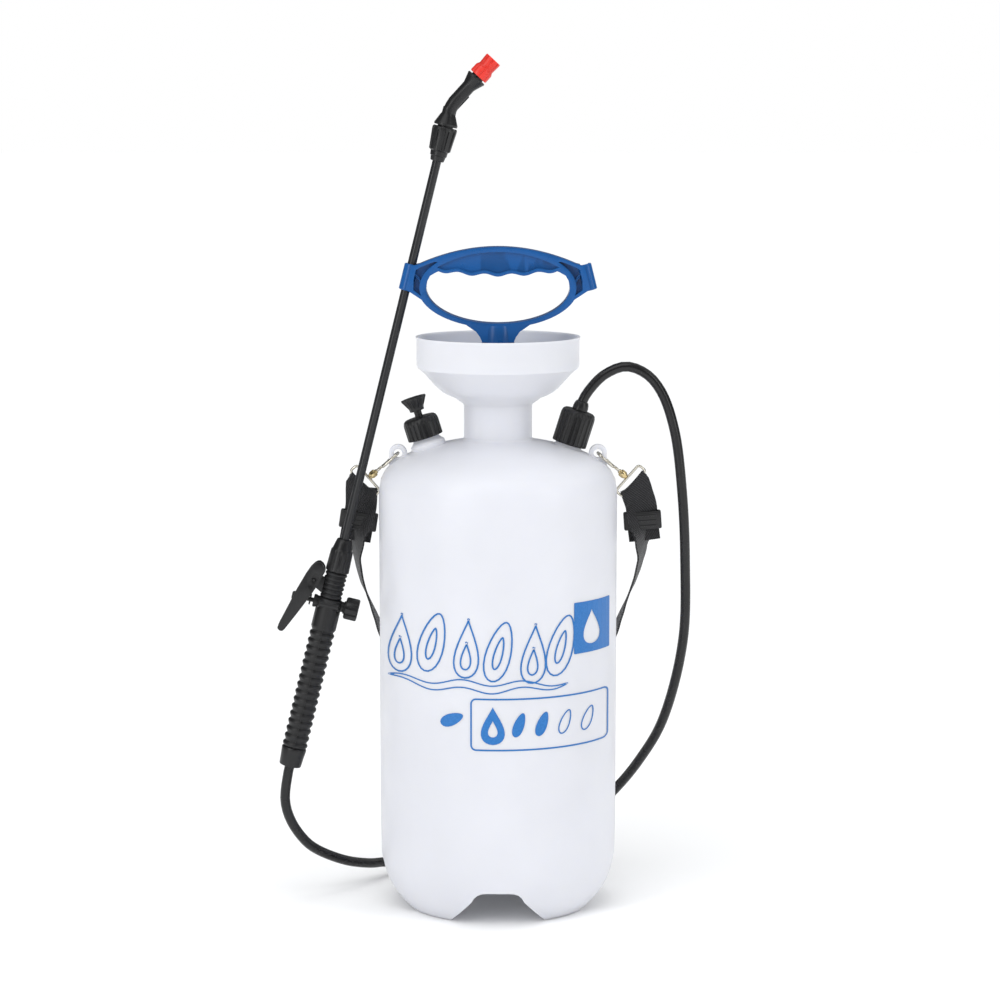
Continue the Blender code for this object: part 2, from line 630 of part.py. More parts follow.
def handle_outline():
    top = [(x, top_edge(x)) for x in spread(-HANDLE_END, HANDLE_END, 16)]
    high, low = clip_end(CLIP_LENGTH / 2 - 0.001), clip_end(0.001 - CLIP_LENGTH / 2)
    right = [(-high[0], high[1]), (-low[0], low[1])]
    left = [low, high]
    bottom = arc_points(RING_HALF_WIDTH, RING_HALF_HEIGHT, -0.30, -1.16, 6)
    neck_out, neck_z = HANDLE_NECK_RADIUS, HANDLE_MID_Z - RING_HALF_HEIGHT - 0.011
    neck = [(neck_out + 0.0045, neck_z + 0.0085), (neck_out + 0.0012, neck_z + 0.004),
            (neck_out - 0.0005, neck_z)]
    right_side = right + bottom + neck
    left_side = [(-x, z) for x, z in reversed(bottom + neck)] + left
    return (top + right_side + left_side)[::-1]


def opening_outline():
    half_width, half_height = RING_HALF_WIDTH - RING_WALL - 0.0009, RING_HALF_HEIGHT - 0.0034
    edge = 0.0475
    lower = arc_points(half_width, half_height, math.pi + 0.0, 2 * math.pi, 20)
    corner = [(half_width * 0.985, HANDLE_MID_Z + 0.005), (half_width * 0.94, HANDLE_MID_Z + 0.0095),
              (edge + 0.0005, HANDLE_MID_Z + 0.0125)]
    waves = [(x, finger_edge(x)) for x in spread(edge - 0.001, -edge + 0.001, 30)]
    return lower + corner + waves + [(-x, z) for x, z in reversed(corner)]


def grip_pocket_outline():
    edge = 0.043
    low = [(x, finger_edge(x) + 0.0032) for x in spread(-edge, edge, 16)]
    high = [(x, top_edge(x) - 0.0052) for x in spread(edge, -edge, 10)]
    return low + high


def gusset_pocket_outline(side):
    rim = arc_points(RING_HALF_WIDTH - 0.0012, RING_HALF_HEIGHT - 0.0003, -0.20, 0.44, 4)
    points = rim + [(0.0565, top_edge(0.0565) - 0.0032), (0.0640, HANDLE_MID_Z + 0.014),
                    (0.0668, HANDLE_MID_Z - 0.001)]
    points = [(side * x, z) for x, z in points]
    return points if side > 0 else points[::-1]


def make_clip(handle, side, plunger):
    clip = make_frame(f"clip_frame_{side}", (side * CLIP_X, CLIP_Y, CLIP_Z), -side * LANCE_TILT,
                      plunger)
    outer = LANCE_RADIUS + RUN + CLIP_WALL
    half = CLIP_LENGTH / 2
    join(handle, cylinder(f"clip_sleeve_{side}", outer, -half, half, clip))
    return clip, half


def clip_cutters(side, clip, half):
    bore = LANCE_RADIUS + RUN
    mouth = bore * 0.84
    return [cylinder(f"clip_bore_{side}", bore, -half - 0.01, half + 0.01, clip),
            box(f"clip_mouth_{side}", (-mouth, 0.0, -half - 0.011), (mouth, 0.03, half + 0.011),
                clip)]


def make_handle(plunger, head_top):
    handle = flat_plate("handle", handle_outline(), HANDLE_HALF_DEPTH, plunger, "blue_plastic")
    pocket = HANDLE_HALF_DEPTH - 0.0025
    deep = HANDLE_HALF_DEPTH - 0.0068
    cut(handle, flat_plate("handle_opening", opening_outline(), 0.03, plunger))
    for face in (-1, 1):
        middle = face * (0.02 + pocket)
        cut(handle, flat_plate(f"grip_pocket_{face}", grip_pocket_outline(), 0.02, plunger,
                               at_y=middle))
        for side in (-1, 1):
            middle = face * (0.02 + deep)
            cut(handle, flat_plate(f"gusset_pocket_{face}_{side}", gusset_pocket_outline(side),
                                   0.02, plunger, at_y=middle))
    low = head_top + GAP
    neck_high = HANDLE_MID_Z - RING_HALF_HEIGHT + 0.0015
    join(handle, cylinder("handle_boss", HANDLE_NECK_RADIUS, low, neck_high, plunger, steps=24))
    holes = [cylinder("rod_socket", ROD_RADIUS + RUN, low - 0.01, head_top + ROD_SOCKET_DEPTH,
                      plunger)]
    for side in (-1, 1):
        holes += clip_cutters(side, *make_clip(handle, side, plunger))
    cut(handle, *holes)


# ---------------------------------------------------------------- lance
def make_lance_tube(lance):
    tube = [(0.0022, LANCE_TOP), (0.0058, LANCE_TOP), (0.0058, LANCE_TOP - 0.0014),
            (LANCE_RADIUS, LANCE_TOP - 0.0014), (LANCE_RADIUS, LANCE_BOTTOM + 0.0014),
            (0.0058, LANCE_BOTTOM + 0.0014), (0.0058, LANCE_BOTTOM), (0.0022, LANCE_BOTTOM)]
    turned("lance_tube", tube, lance, "lance_tube", steps=16, closed=True)


def make_upper_end(lance, upper_nut, elbow, nozzle, nozzle_turn):
    low, high = UPPER_NUT
    flange_low = LANCE_TOP - 0.0014
    spigot = 0.0062
    floor = flange_low - GAP
    nut = [(spigot + RUN, high), (0.0092, high), (0.00985, high - 0.001), (0.0086, low + 0.0084),
           (0.0064, low + 0.0084), (0.0052, low), (LANCE_RADIUS + RUN, low),
           (LANCE_RADIUS + RUN, floor), (spigot + RUN, floor)]
    turned("lance_upper_nut", nut, upper_nut, "black_plastic", closed=True)
    seal_low = LANCE_TOP + GAP
    seal_top = seal_low + 0.0016
    ring("lance_upper_seal", 0.0022, 0.0057, seal_low, seal_top, lance, "rubber")
    start = seal_top + GAP
    base_low = high + 0.0009
    base = [(0.0, BEND_AT + 0.004), (ELBOW_RADIUS, BEND_AT - 0.0005), (ELBOW_RADIUS, base_low + 0.0085),
            (0.0092, base_low + 0.0015), (0.0092, base_low), (spigot, base_low), (spigot, start),
            (0.0, start)]
    thing = turned("nozzle_elbow", base, elbow, "black_plastic", steps=14)
    cap_low, cap_top = NOZZLE_CAP
    thread_top = cap_top - 0.006
    arm = [(0.0, thread_top), (0.0052, thread_top), (0.0052, cap_low + 0.0036),
           (0.0042, cap_low + 0.0036), (0.0042, cap_low + 0.0018), (0.0052, cap_low + 0.0018),
           (0.0052, cap_low - 0.0012), (0.0080, cap_low - 0.0012), (0.0080, cap_low - 0.003),
           (ELBOW_RADIUS + 0.0006, cap_low - 0.0085), (ELBOW_RADIUS, 0.0), (0.0, -0.0025)]
    join(thing, turned("nozzle_arm", arm, nozzle, steps=16))
    cut(thing, cylinder("elbow_bore", 0.0022, start - 0.01, BEND_AT + 0.0008, elbow, steps=12),
        cylinder("arm_bore", 0.0021, -0.0008, cap_top, nozzle, steps=12))
    make_nozzle_cap(nozzle, nozzle_turn, thread_top)


def make_nozzle_cap(nozzle, nozzle_turn, thread_top):
    cap_low, cap_top = NOZZLE_CAP
    bore = 0.0052 + RUN
    floor = cap_top - 0.003
    shell = [(0.0010, cap_top), (0.0063, cap_top), (0.0066, cap_top - 0.0035),
             (0.0074, cap_top - 0.0060), (0.0078, cap_low + 0.002), (0.0078, cap_low),
             (bore, cap_low), (bore, floor), (0.0010, floor)]
    turned("nozzle_cap", shell, nozzle_turn, "red_plastic", closed=True)
    core = [(0.0, floor - GAP), (0.0022, floor - GAP), (0.0046, floor - 0.0012),
            (0.0046, thread_top + GAP), (0.0, thread_top + GAP)]
    turned("nozzle_core", core, nozzle, "grey_plastic", steps=16)
    groove = cap_low + 0.0027
    points = [(0.00485 + 0.00052 * math.cos(a), groove - 0.00052 * math.sin(a))
              for a in (2 * math.pi * i / 6 for i in range(6))]
    turned("nozzle_oring", points, nozzle, "rubber", steps=20, closed=True)


def make_lower_end(lance, lower_nut):
    low, high = LOWER_NUT
    flange_top = LANCE_BOTTOM + 0.0014
    ceiling = flange_top + GAP
    bore = SPIGOT_RADIUS + RUN
    nut = [(LANCE_RADIUS + RUN, high), (0.0060, high), (0.0080, high - 0.0075),
           (0.0088, high - 0.0080), (0.0095, low + 0.001), (0.0092, low), (bore, low),
           (bore, ceiling), (LANCE_RADIUS + RUN, ceiling)]
    turned("lance_lower_nut", nut, lower_nut, "black_plastic", closed=True)
    top = LANCE_BOTTOM - GAP
    ring("lance_lower_seal", 0.0022, 0.0060, top - 0.0016, top, lance, "rubber")
    return top - 0.0016 - GAP


def make_grip(lance, cross, spigot_top):
    """Hollow grip body: threaded top, cross tube for the valve, ribbed handle."""
    nut_low = LOWER_NUT[0]
    outer = [(0.0, spigot_top), (SPIGOT_RADIUS, spigot_top), (SPIGOT_RADIUS, nut_low - GAP)]
    neck = nut_low - GAP
    thread = (neck - BODY_TOP) / 3
    for index in range(3):
        high = neck - index * thread
        outer += [(0.0079, high), (0.0088, high - thread * 0.35), (0.0088, high - thread * 0.65)]
    outer += [(0.0079, BODY_TOP), (BODY_RADIUS, BODY_TOP - 0.001), (BODY_RADIUS, RIBS_TOP)]
    for index in range(RIB_COUNT):
        high = RIBS_TOP - index * RIB_PITCH
        outer += [(RIB_VALLEY, high - RIB_PITCH * 0.15), (RIB_RADIUS, high - RIB_PITCH * 0.48),
                  (RIB_RADIUS, high - RIB_PITCH * 0.68)]
    ribs_low = RIBS_TOP - RIB_COUNT * RIB_PITCH
    outer += [(RIB_VALLEY, ribs_low), (SPIGOT_RADIUS, ribs_low),
              (SPIGOT_RADIUS, ribs_low - SPIGOT_LENGTH), (0.0, ribs_low - SPIGOT_LENGTH)]
    grip = turned("grip_body", outer, lance, "black_plastic", steps=14)
    left = -0.0112
    join(grip, cylinder("valve_arm", 0.00525, 0.0, CHAMBER[1], cross, steps=20))
    join(grip, cylinder("stem_guide", 0.00425, left, 0.0, cross, steps=16))
    ear = [(-PIVOT_OUT - 0.0034, PIVOT_AT - 0.0020), (-PIVOT_OUT - 0.0020, PIVOT_AT - 0.0036),
           (-BODY_RADIUS + 0.002, PIVOT_AT - 0.0090), (-BODY_RADIUS + 0.002, PIVOT_AT + 0.0036),
           (-PIVOT_OUT - 0.0020, PIVOT_AT + 0.0036), (-PIVOT_OUT - 0.0034, PIVOT_AT + 0.0020)]
    ear_plate = flat_plate("trigger_ear", ear, TRIGGER_SLOT - 0.0005, lance)
    pin_hole = cylinder("pin_hole", 0.0013 + RUN, -0.02, 0.02, lance, steps=12)
    pin_hole.location = (-PIVOT_OUT, 0.0, PIVOT_AT)
    pin_hole.rotation_euler = (math.pi / 2, 0.0, 0.0)
    cut(ear_plate, pin_hole)
    join(grip, ear_plate)
    start, end = CHAMBER
    valve_way = turned("valve_way", [(0.0, end + 0.01), (CHAMBER_RADIUS, end + 0.01),
                                     (CHAMBER_RADIUS, start), (STEM_RADIUS + RUN, start),
                                     (STEM_RADIUS + RUN, left - 0.01), (0.0, left - 0.01)],
                       cross, steps=16)
    valve_way.rotation_euler = (0.0, 0.0, 0.13)
    cut(grip, cylinder("grip_way", GRIP_BORE, ribs_low - 0.02, spigot_top + 0.01, lance, steps=12))
    cut(grip, valve_way)
    return ribs_low


def make_valve(cross, stem_slide, valve_turn):
    start, end = CHAMBER
    seal_low = start + GAP
    ring("valve_seal", STEM_RADIUS + 0.0001, 0.0032, seal_low, seal_low + 0.0014, stem_slide,
         "rubber", steps=16)
    head = seal_low + 0.0014 + GAP
    stem = [(0.0, head + 0.0016), (0.0032, head + 0.0016), (0.0032, head), (STEM_RADIUS, head),
            (STEM_RADIUS, -0.0150), (0.0044, -0.0150), (0.0044, -0.0162), (STEM_RADIUS, -0.0162),
            (STEM_RADIUS, -0.0283), (0.0036, -0.0283), (0.0030, -0.0306), (0.0, -0.0306)]
    turned("valve_stem", stem, stem_slide, "nickel", steps=16)
    floor = end + GAP
    coil("valve_spring", 0.0024, 0.0003, head + 0.0016 + GAP, floor - GAP, 4, cross,
         "spring_steel")
    low, high = 0.0129, 0.0239
    knob = [(0.0, high), (0.0078, high), (0.0085, high - 0.0009), (0.0085, low + 0.0006),
            (0.0079, low), (0.00525 + RUN, low), (0.00525 + RUN, floor), (0.0, floor)]
    turned("valve_cap", knob, valve_turn, "black_plastic")


def trigger_outline():
    """Lever seen from the side, pivot at the origin, hanging down and outwards."""
    along = Vector((-math.sin(TRIGGER_ANGLE), -math.cos(TRIGGER_ANGLE)))
    across = Vector((math.cos(TRIGGER_ANGLE), -math.sin(TRIGGER_ANGLE)))
    top, wide, narrow = -0.0137, 0.0044, 0.0030
    shape = [(top + 0.0030, wide * 0.96), (top + 0.0008, wide * 0.62), (top, 0.0),
             (top + 0.0010, -wide * 0.62), (top + 0.0036, -wide), (0.010, -wide),
             (TRIGGER_LENGTH - 0.003, -narrow), (TRIGGER_LENGTH, -narrow * 0.3),
             (TRIGGER_LENGTH - 0.0003, narrow * 0.6), (TRIGGER_LENGTH - 0.0030, narrow),
             (0.012, wide)]
    points = [along * a + across * b for a, b in shape]
    return [(p.x, p.y) for p in points]


def make_trigger(trigger):
    lever = flat_plate("trigger", trigger_outline(), TRIGGER_CHEEK, trigger, "black_plastic")
    along = Vector((-math.sin(TRIGGER_ANGLE), 0.0, -math.cos(TRIGGER_ANGLE)))
    # The gap between the cheeks is open from the top down past the valve stem.
    slot = box("trigger_slot", (-0.012, -TRIGGER_SLOT, -0.026), (0.012, TRIGGER_SLOT, 0.020),
               trigger)
    slot.rotation_euler = (0.0, TRIGGER_ANGLE, 0.0)
    cut(lever, slot)
    window = flat_plate("trigger_window", oblong(along, 0.0035, 0.0075, 0.0011), 0.02, trigger)
    cut(lever, window)
    hole = cylinder("trigger_hole", 0.0013 + RUN, -0.02, 0.02, trigger, steps=12)
    hole.rotation_euler = (math.pi / 2, 0.0, 0.0)
    cut(lever, hole)


def oblong(along, start, end, half):
    """A slot with round ends on the lever's middle line, below the pivot."""
    way = Vector((along.x, along.z))
    across = Vector((way.y, -way.x))
    points = []
    for place, turn in ((end, 0.0), (start, math.pi)):
        for step in range(5):
            angle = turn - math.pi / 2 + math.pi * step / 4
            points.append(way * (place + half * math.cos(angle)) + across * half * math.sin(angle))
    return [(p.x, p.y) for p in points]


def make_trigger_pin(lance):
    half = TRIGGER_CHEEK + 0.0008
    pin = cylinder("trigger_pin", 0.0013, -half, half, lance, "nickel", steps=12)
    pin.location = (-PIVOT_OUT, 0.0, PIVOT_AT)
    pin.rotation_euler = (math.pi / 2, 0.0, 0.0)


def make_end_nut(end_nut, ribs_low):
    high = ribs_low - GAP
    low = high - END_NUT_LENGTH
    floor = ribs_low - SPIGOT_LENGTH - GAP
    nut = [(SPIGOT_RADIUS + RUN, high), (0.0096, high), (0.0100, high - 0.001),
           (0.0089, low + 0.001), (0.0080, low), (HOSE_RADIUS + RUN, low),
           (HOSE_RADIUS + RUN, floor), (SPIGOT_RADIUS + RUN, floor)]
    turned("grip_end_nut", nut, end_nut, "black_plastic", closed=True)
    return floor


# ---------------------------------------------------------------- hose
def make_hose(root, spigot_top, hose_floor):
    """From the outlet spigot's end to the end of the grip's threaded end."""
    outlet_way = Vector((math.sin(PORT_TILT), 0.0, math.cos(PORT_TILT)))
    start = Vector((OUTLET_X, 0.0, OUTLET_Z)) + outlet_way * (spigot_top + GAP)
    lance_way = Vector((math.sin(LANCE_TILT), 0.0, math.cos(LANCE_TILT)))
    end = Vector((-CLIP_X, CLIP_Y, CLIP_Z)) + lance_way * hose_floor
    route = [start, start + outlet_way * 0.008, *HOSE_ROUTE, end - lance_way * 0.012, end]
    points = smooth_points(route, 0.0165)
    points.insert(1, start + outlet_way * 0.004)
    points.insert(-1, end - lance_way * 0.008)
    wire("hose", points, HOSE_RADIUS, root, "hose_rubber", resolution=2)


# ---------------------------------------------------------------- strap and hooks
def hook_frame(side, root):
    """Local +X runs from the lug's hole to the ring, local +Y to the back."""
    empty = make_frame(f"hook_frame_{side}", (side * LUG_X, 0.0, LUG_HOLE_Z), parent=root)
    reach = HOOK_LENGTH + SWIVEL_LENGTH
    run = Vector((side * math.cos(HOOK_DROP), HOOK_BACK / reach, -math.sin(HOOK_DROP)))
    run.normalize()
    back = (Vector((0.0, 1.0, 0.0)) - run * run.y).normalized()
    empty.rotation_euler = Matrix((run, back, run.cross(back))).transposed().to_euler()
    return empty


def make_hook(name, hook, gate_frame):
    half, long = HOOK_HALF_WIDTH, HOOK_LENGTH
    bow = [(half - half * math.sin(a), -half * math.cos(a), 0.0)
           for a in (math.pi * i / 8 for i in range(9))]
    path = [(long, HOOK_KINK, 0.0), (long - 0.004, HOOK_KINK, 0.0),
            (long - 0.0090, -half * 0.75, 0.0), (long - 0.0115, -half, 0.0), *bow,
            (HOOK_NOSE, half, 0.0)]
    thing = wire(f"snap_hook_{name}", path, HOOK_WIRE, hook, "nickel", resolution=1, as_mesh=True)
    long_end = SWIVEL_LENGTH
    swivel = turned(f"swivel_{name}", [(0.0, long_end), (0.0022, long_end),
                                       (0.0030, long_end - 0.0016), (0.0030, 0.0012),
                                       (0.0020, -0.001), (0.0, -0.001)], hook, steps=12)
    swivel.location = (long, HOOK_KINK, 0.0)
    swivel.rotation_euler = (0.0, math.pi / 2, 0.1)
    join(thing, swivel)
    gate = [(HOOK_NOSE + GAP - gate_frame.location.x, 0.0, 0.0), (0.0, 0.0, 0.0)]
    wire(f"hook_gate_{name}", gate, HOOK_WIRE * 0.8, gate_frame, "nickel", resolution=1)


def make_strap_ring(name, hook):
    """A rectangular wire loop with rounded corners, past the swivel's end."""
    near = HOOK_LENGTH + SWIVEL_LENGTH + RING_WIRE + GAP
    corner = 0.0025
    half = RING_LENGTH / 2 - RING_WIRE
    far = near + RING_HEIGHT - 2 * RING_WIRE
    points = []
    centres = [(far - corner, half - corner, 0.0), (near + corner, half - corner, 90.0),
               (near + corner, -half + corner, 180.0), (far - corner, -half + corner, 270.0)]
    for x, z, turn in centres:
        for step in (0, 1, 2, 3):
            angle = math.radians(turn + 30 * step)
            points.append((x + corner * math.cos(angle), HOOK_KINK,
                           z + corner * math.sin(angle)))
    wire(f"strap_ring_{name}", points, RING_WIRE, hook, "nickel", cyclic=True, resolution=1)


def strap_stations():
    """Middle points and width directions from the right ring round to the left one."""
    right, left = [], []
    for index, row in enumerate(STRAP_DROP):
        turn, lift = math.radians(row[3]), math.radians(row[4])
        wide = Vector((math.cos(turn) * math.cos(lift), math.sin(turn) * math.cos(lift),
                       math.sin(lift)))
        right.append((strap_place(1, index), wide))
        left.append((strap_place(-1, index), Vector((-wide.x, wide.y, wide.z))))
    return right + left[-2::-1]


def weight(index):
    return max(0.0, 1.0 - index / 6)


def make_strap(root):
    stations = strap_stations()
    shape = bmesh.new()
    loops = []
    for index, (place, width) in enumerate(stations):
        before = stations[max(0, index - 1)][0]
        after = stations[min(len(stations) - 1, index + 1)][0]
        run = (after - before).normalized()
        width = (width - run * width.dot(run)).normalized()
        normal = run.cross(width)
        half_width, half_thick = STRAP_WIDTH / 2, STRAP_THICKNESS / 2
        corners = [(1, 1), (-1, 1), (-1, -1), (1, -1)]
        loops.append([shape.verts.new(place + width * a * half_width + normal * b * half_thick)
                      for a, b in corners])
    for one, two in zip(loops, loops[1:]):
        for i in range(4):
            j = (i + 1) % 4
            shape.faces.new((one[i], one[j], two[j], two[i]))
    shape.faces.new(loops[0][::-1])
    shape.faces.new(loops[-1])
    bmesh.ops.recalc_face_normals(shape, faces=shape.faces)
    mesh = bpy.data.meshes.new("strap")
    shape.to_mesh(mesh)
    shape.free()
    add_object("strap", mesh, root, "webbing")


def strap_place(side, index):
    """A station of the drop, moved with the lug it hangs from and clear of the tank."""
    x, y, z = STRAP_DROP[index][:3]
    first, last = STRAP_DROP[0], STRAP_DROP[-1]
    x *= 1 + (LUG_X - STRAP_LUG[0]) / first[0]
    y *= (TANK_RADIUS + STRAP_BACK) / last[1]
    z += LUG_HOLE_Z - STRAP_LUG[1]
    return Vector((x if side > 0 else -x + STRAP_LEFT_SHIFT * weight(index), y, z))


def make_slider(side, name, root):
    """A flat ladder that the strap runs through, square to the strap's run."""
    slider = make_frame(f"slider_frame_{name}", strap_place(side, 2), parent=root)
    run = (strap_place(side, 1) - strap_place(side, 3)).normalized()
    wide = (Vector((1.0, 0.0, 0.0)) - run * run.x).normalized()
    slider.rotation_euler = Matrix((wide, run.cross(wide), run)).transposed().to_euler()
    width, height, depth = 0.0305, 0.015, 0.0062
    thing = box(f"strap_slider_{name}", (-width / 2, -depth / 2, -height / 2),
                (width / 2, depth / 2, height / 2), slider, "black_plastic")
    slot_half, slot_deep = STRAP_WIDTH / 2 + 0.0006, STRAP_THICKNESS / 2 + 0.0010
    cut(thing, box(f"slider_slot_{name}", (-slot_half, -slot_deep, -height),
                   (slot_half, slot_deep, height), slider))


def make_strap_side(side, name, root):
    hook = hook_frame(side, root)
    gate_frame = bpy.data.objects.new(f"gate_frame_{name}", None)
    gate_frame.parent = hook
    gate_frame.location = (HOOK_LENGTH - 0.0065, HOOK_HALF_WIDTH, 0.0)
    PARTS.objects.link(gate_frame)
    make_hook(name, hook, gate_frame)
    make_strap_ring(name, hook)
    make_slider(side, name, root)


# ---------------------------------------------------------------- placing the whole
def centre_on_floor(root, left_out):
    """Move the root so that the object without its hose is centred over the origin."""
    bpy.context.view_layer.update()
    graph = bpy.context.evaluated_depsgraph_get()
    low = Vector((1e9, 1e9, 1e9))
    high = -low
    for thing in PARTS.objects:
        if thing.type == "EMPTY" or thing.name in left_out:
            continue
        solid = thing.evaluated_get(graph)
        mesh = solid.to_mesh()
        for vertex in mesh.vertices:
            place = solid.matrix_world @ vertex.co
            low = Vector(map(min, low, place))
            high = Vector(map(max, high, place))
        solid.to_mesh_clear()
    root.location = (-(low.x + high.x) / 2, -(low.y + high.y) / 2, -low.z)
    bpy.context.view_layer.update()


def shade_parts():
    for thing in PARTS.objects:
        if thing.type == "MESH" and thing.name not in ("strap",):
            thing.data.shade_smooth()
            thing.data.set_sharp_from_angle(angle=math.radians(30))


def build():
    root = make_frame("sprayer", (0.0, 0.0, 0.0))
    outlet = make_frame("outlet_frame", (OUTLET_X, 0.0, OUTLET_Z), PORT_TILT, root)
    relief = make_frame("relief_frame", (RELIEF_X, 0.0, RELIEF_Z), -PORT_TILT, root)
    pump_turn = make_frame("pump_frame", (0.0, 0.0, 0.0), parent=root)
    plunger = make_frame("plunger_frame", (0.0, 0.0, 0.0), parent=root)
    lance = make_frame("lance_frame", (-CLIP_X, CLIP_Y, CLIP_Z), LANCE_TILT, plunger)
    nozzle = make_frame("nozzle_frame", (0.0, 0.0, BEND_AT), NOZZLE_BEND, lance)
    cross = make_frame("cross_frame", (0.0, 0.0, VALVE_AT), math.pi / 2, lance)
    trigger = make_frame("trigger_frame", (-PIVOT_OUT, 0.0, PIVOT_AT), 0.0, lance)

    make_tank(root, outlet, relief)
    spigot_top, spigot_low = make_outlet(outlet, outlet)
    make_dip_tube(root, spigot_low)
    make_relief(relief, relief, relief)
    head_top = make_pump(root, pump_turn, plunger)
    make_handle(plunger, head_top)
    make_lance_tube(lance)
    make_upper_end(lance, lance, lance, nozzle, nozzle)
    spigot = make_lower_end(lance, lance)
    ribs_low = make_grip(lance, cross, spigot)
    make_valve(cross, cross, cross)
    make_trigger(trigger)
    make_trigger_pin(lance)
    hose_floor = make_end_nut(lance, ribs_low)
    make_hose(root, spigot_top, hose_floor)
    for side, name in ((1, "right"), (-1, "left")):
        make_strap_side(side, name, root)
    make_strap(root)
    shade_parts()
    centre_on_floor(root, {"hose"})


clear_scene()
PARTS = new_collection("pump_sprayer")
CUTTERS = new_collection("cutters")
build()
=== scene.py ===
"""Pump sprayer: the looks of a pressure sprayer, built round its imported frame.

Run as a script it registers its operators and makes every piece in order.
"""
import json
import math

import bmesh
import bpy
from mathutils import Matrix, Vector


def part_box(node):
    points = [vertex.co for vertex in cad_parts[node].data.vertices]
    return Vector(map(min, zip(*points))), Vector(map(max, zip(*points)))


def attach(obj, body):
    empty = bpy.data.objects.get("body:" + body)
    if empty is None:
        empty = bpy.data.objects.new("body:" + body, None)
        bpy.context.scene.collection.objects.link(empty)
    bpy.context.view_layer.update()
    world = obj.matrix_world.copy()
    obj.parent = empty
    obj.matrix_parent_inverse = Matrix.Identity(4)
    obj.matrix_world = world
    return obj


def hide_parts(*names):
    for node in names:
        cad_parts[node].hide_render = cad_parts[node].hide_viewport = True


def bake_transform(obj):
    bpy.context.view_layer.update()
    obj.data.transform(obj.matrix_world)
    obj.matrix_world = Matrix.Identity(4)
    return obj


bl_info = {
    "name": "Pump Sprayer",
    "version": (1, 0, 0),
    "blender": (4, 5, 0),
    "location": "View3D > Sidebar > Sprayer",
    "description": "Models the tank, pump handle, spray lance, hose and strap of a sprayer",
    "category": "Add Mesh",
}

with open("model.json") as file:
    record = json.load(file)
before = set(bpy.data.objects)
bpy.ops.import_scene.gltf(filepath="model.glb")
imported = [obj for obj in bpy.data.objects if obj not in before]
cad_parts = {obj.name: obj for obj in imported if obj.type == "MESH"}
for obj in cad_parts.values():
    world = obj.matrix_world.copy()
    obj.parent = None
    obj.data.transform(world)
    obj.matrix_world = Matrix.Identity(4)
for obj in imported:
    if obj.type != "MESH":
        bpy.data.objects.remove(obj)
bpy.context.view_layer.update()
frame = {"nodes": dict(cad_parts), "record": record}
TANK_LOW, TANK_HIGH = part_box("tank")
AXIS = Vector(((TANK_LOW.x + TANK_HIGH.x) / 2, (TANK_LOW.y + TANK_HIGH.y) / 2, 0.0))


# ---------------------------------------------------------------- places on the object
def placed(x, y, z, tilt=0.0, within=None):
    """A place whose own +Z leans by `tilt` degrees about Y, inside another place."""
    base = Matrix.Translation(AXIS) if within is None else within
    return base @ Matrix.Translation((x, y, z)) @ Matrix.Rotation(math.radians(tilt), 4, "Y")


ROOT = placed(0.0, 0.0, 0.0)
OUTLET = placed(0.0565, 0.0, 0.3716, 17.5)
RELIEF = placed(-0.0575, 0.0, 0.3768, -17.5)
LANCE = placed(-0.0704, -0.003, 0.504, 13.9)
SPARE_CLIP = placed(0.0704, -0.003, 0.504, -13.9)
NOZZLE = placed(0.0, 0.0, 0.1374, 29.0, LANCE)
CROSS = placed(0.0, 0.0, -0.2689, 90.0, LANCE)
PIVOT = placed(-0.0162, 0.0, -0.2523, 0.0, LANCE)

# Middle line of the hose in metres from the tank's axis, from outlet to grip.
HOSE_ROUTE = [
    (0.0750, 0.000, 0.4176), (0.0852, 0.000, 0.4271), (0.1015, 0.000, 0.4331),
    (0.1177, 0.000, 0.4271), (0.1297, 0.000, 0.4128), (0.1403, 0.001, 0.3822),
    (0.1467, 0.002, 0.3341), (0.1500, 0.008, 0.2767), (0.1497, 0.022, 0.2090),
    (0.1350, 0.048, 0.1376), (0.1169, 0.070, 0.0992), (0.0979, 0.090, 0.0700),
    (0.0700, 0.104, 0.0390), (0.0350, 0.110, 0.0140), (-0.0050, 0.109, 0.0052),
    (-0.0450, 0.101, 0.0046), (-0.0760, 0.086, 0.0065), (-0.0936, 0.074, 0.0115),
    (-0.1062, 0.056, 0.0152), (-0.1258, 0.036, 0.0229), (-0.1466, 0.020, 0.0353),
    (-0.1566, 0.010, 0.0457), (-0.1673, 0.001, 0.0643), (-0.1717, -0.0025, 0.0818),
]

# Half of the strap: middle line, turn of its width from X and lift from level in degrees.
STRAP_DROP = [
    (0.1130, 0.0135, 0.3300, 0, 0), (0.1148, 0.0135, 0.3200, 0, 0),
    (0.1160, 0.0140, 0.3080, 22, 0), (0.1167, 0.0165, 0.2950, 58, 0),
    (0.1158, 0.0225, 0.2800, 76, 0), (0.1128, 0.0320, 0.2640, 80, 0),
    (0.1085, 0.0430, 0.2480, 82, 0), (0.1035, 0.0560, 0.2310, 86, 4),
    (0.0975, 0.0700, 0.2120, 90, 12), (0.0870, 0.0840, 0.1880, 95, 25),
    (0.0690, 0.0950, 0.1640, 100, 45), (0.0470, 0.1010, 0.1430, 110, 65),
    (0.0230, 0.1035, 0.1300, 100, 80), (0.0, 0.1040, 0.1260, 90, 90),
]


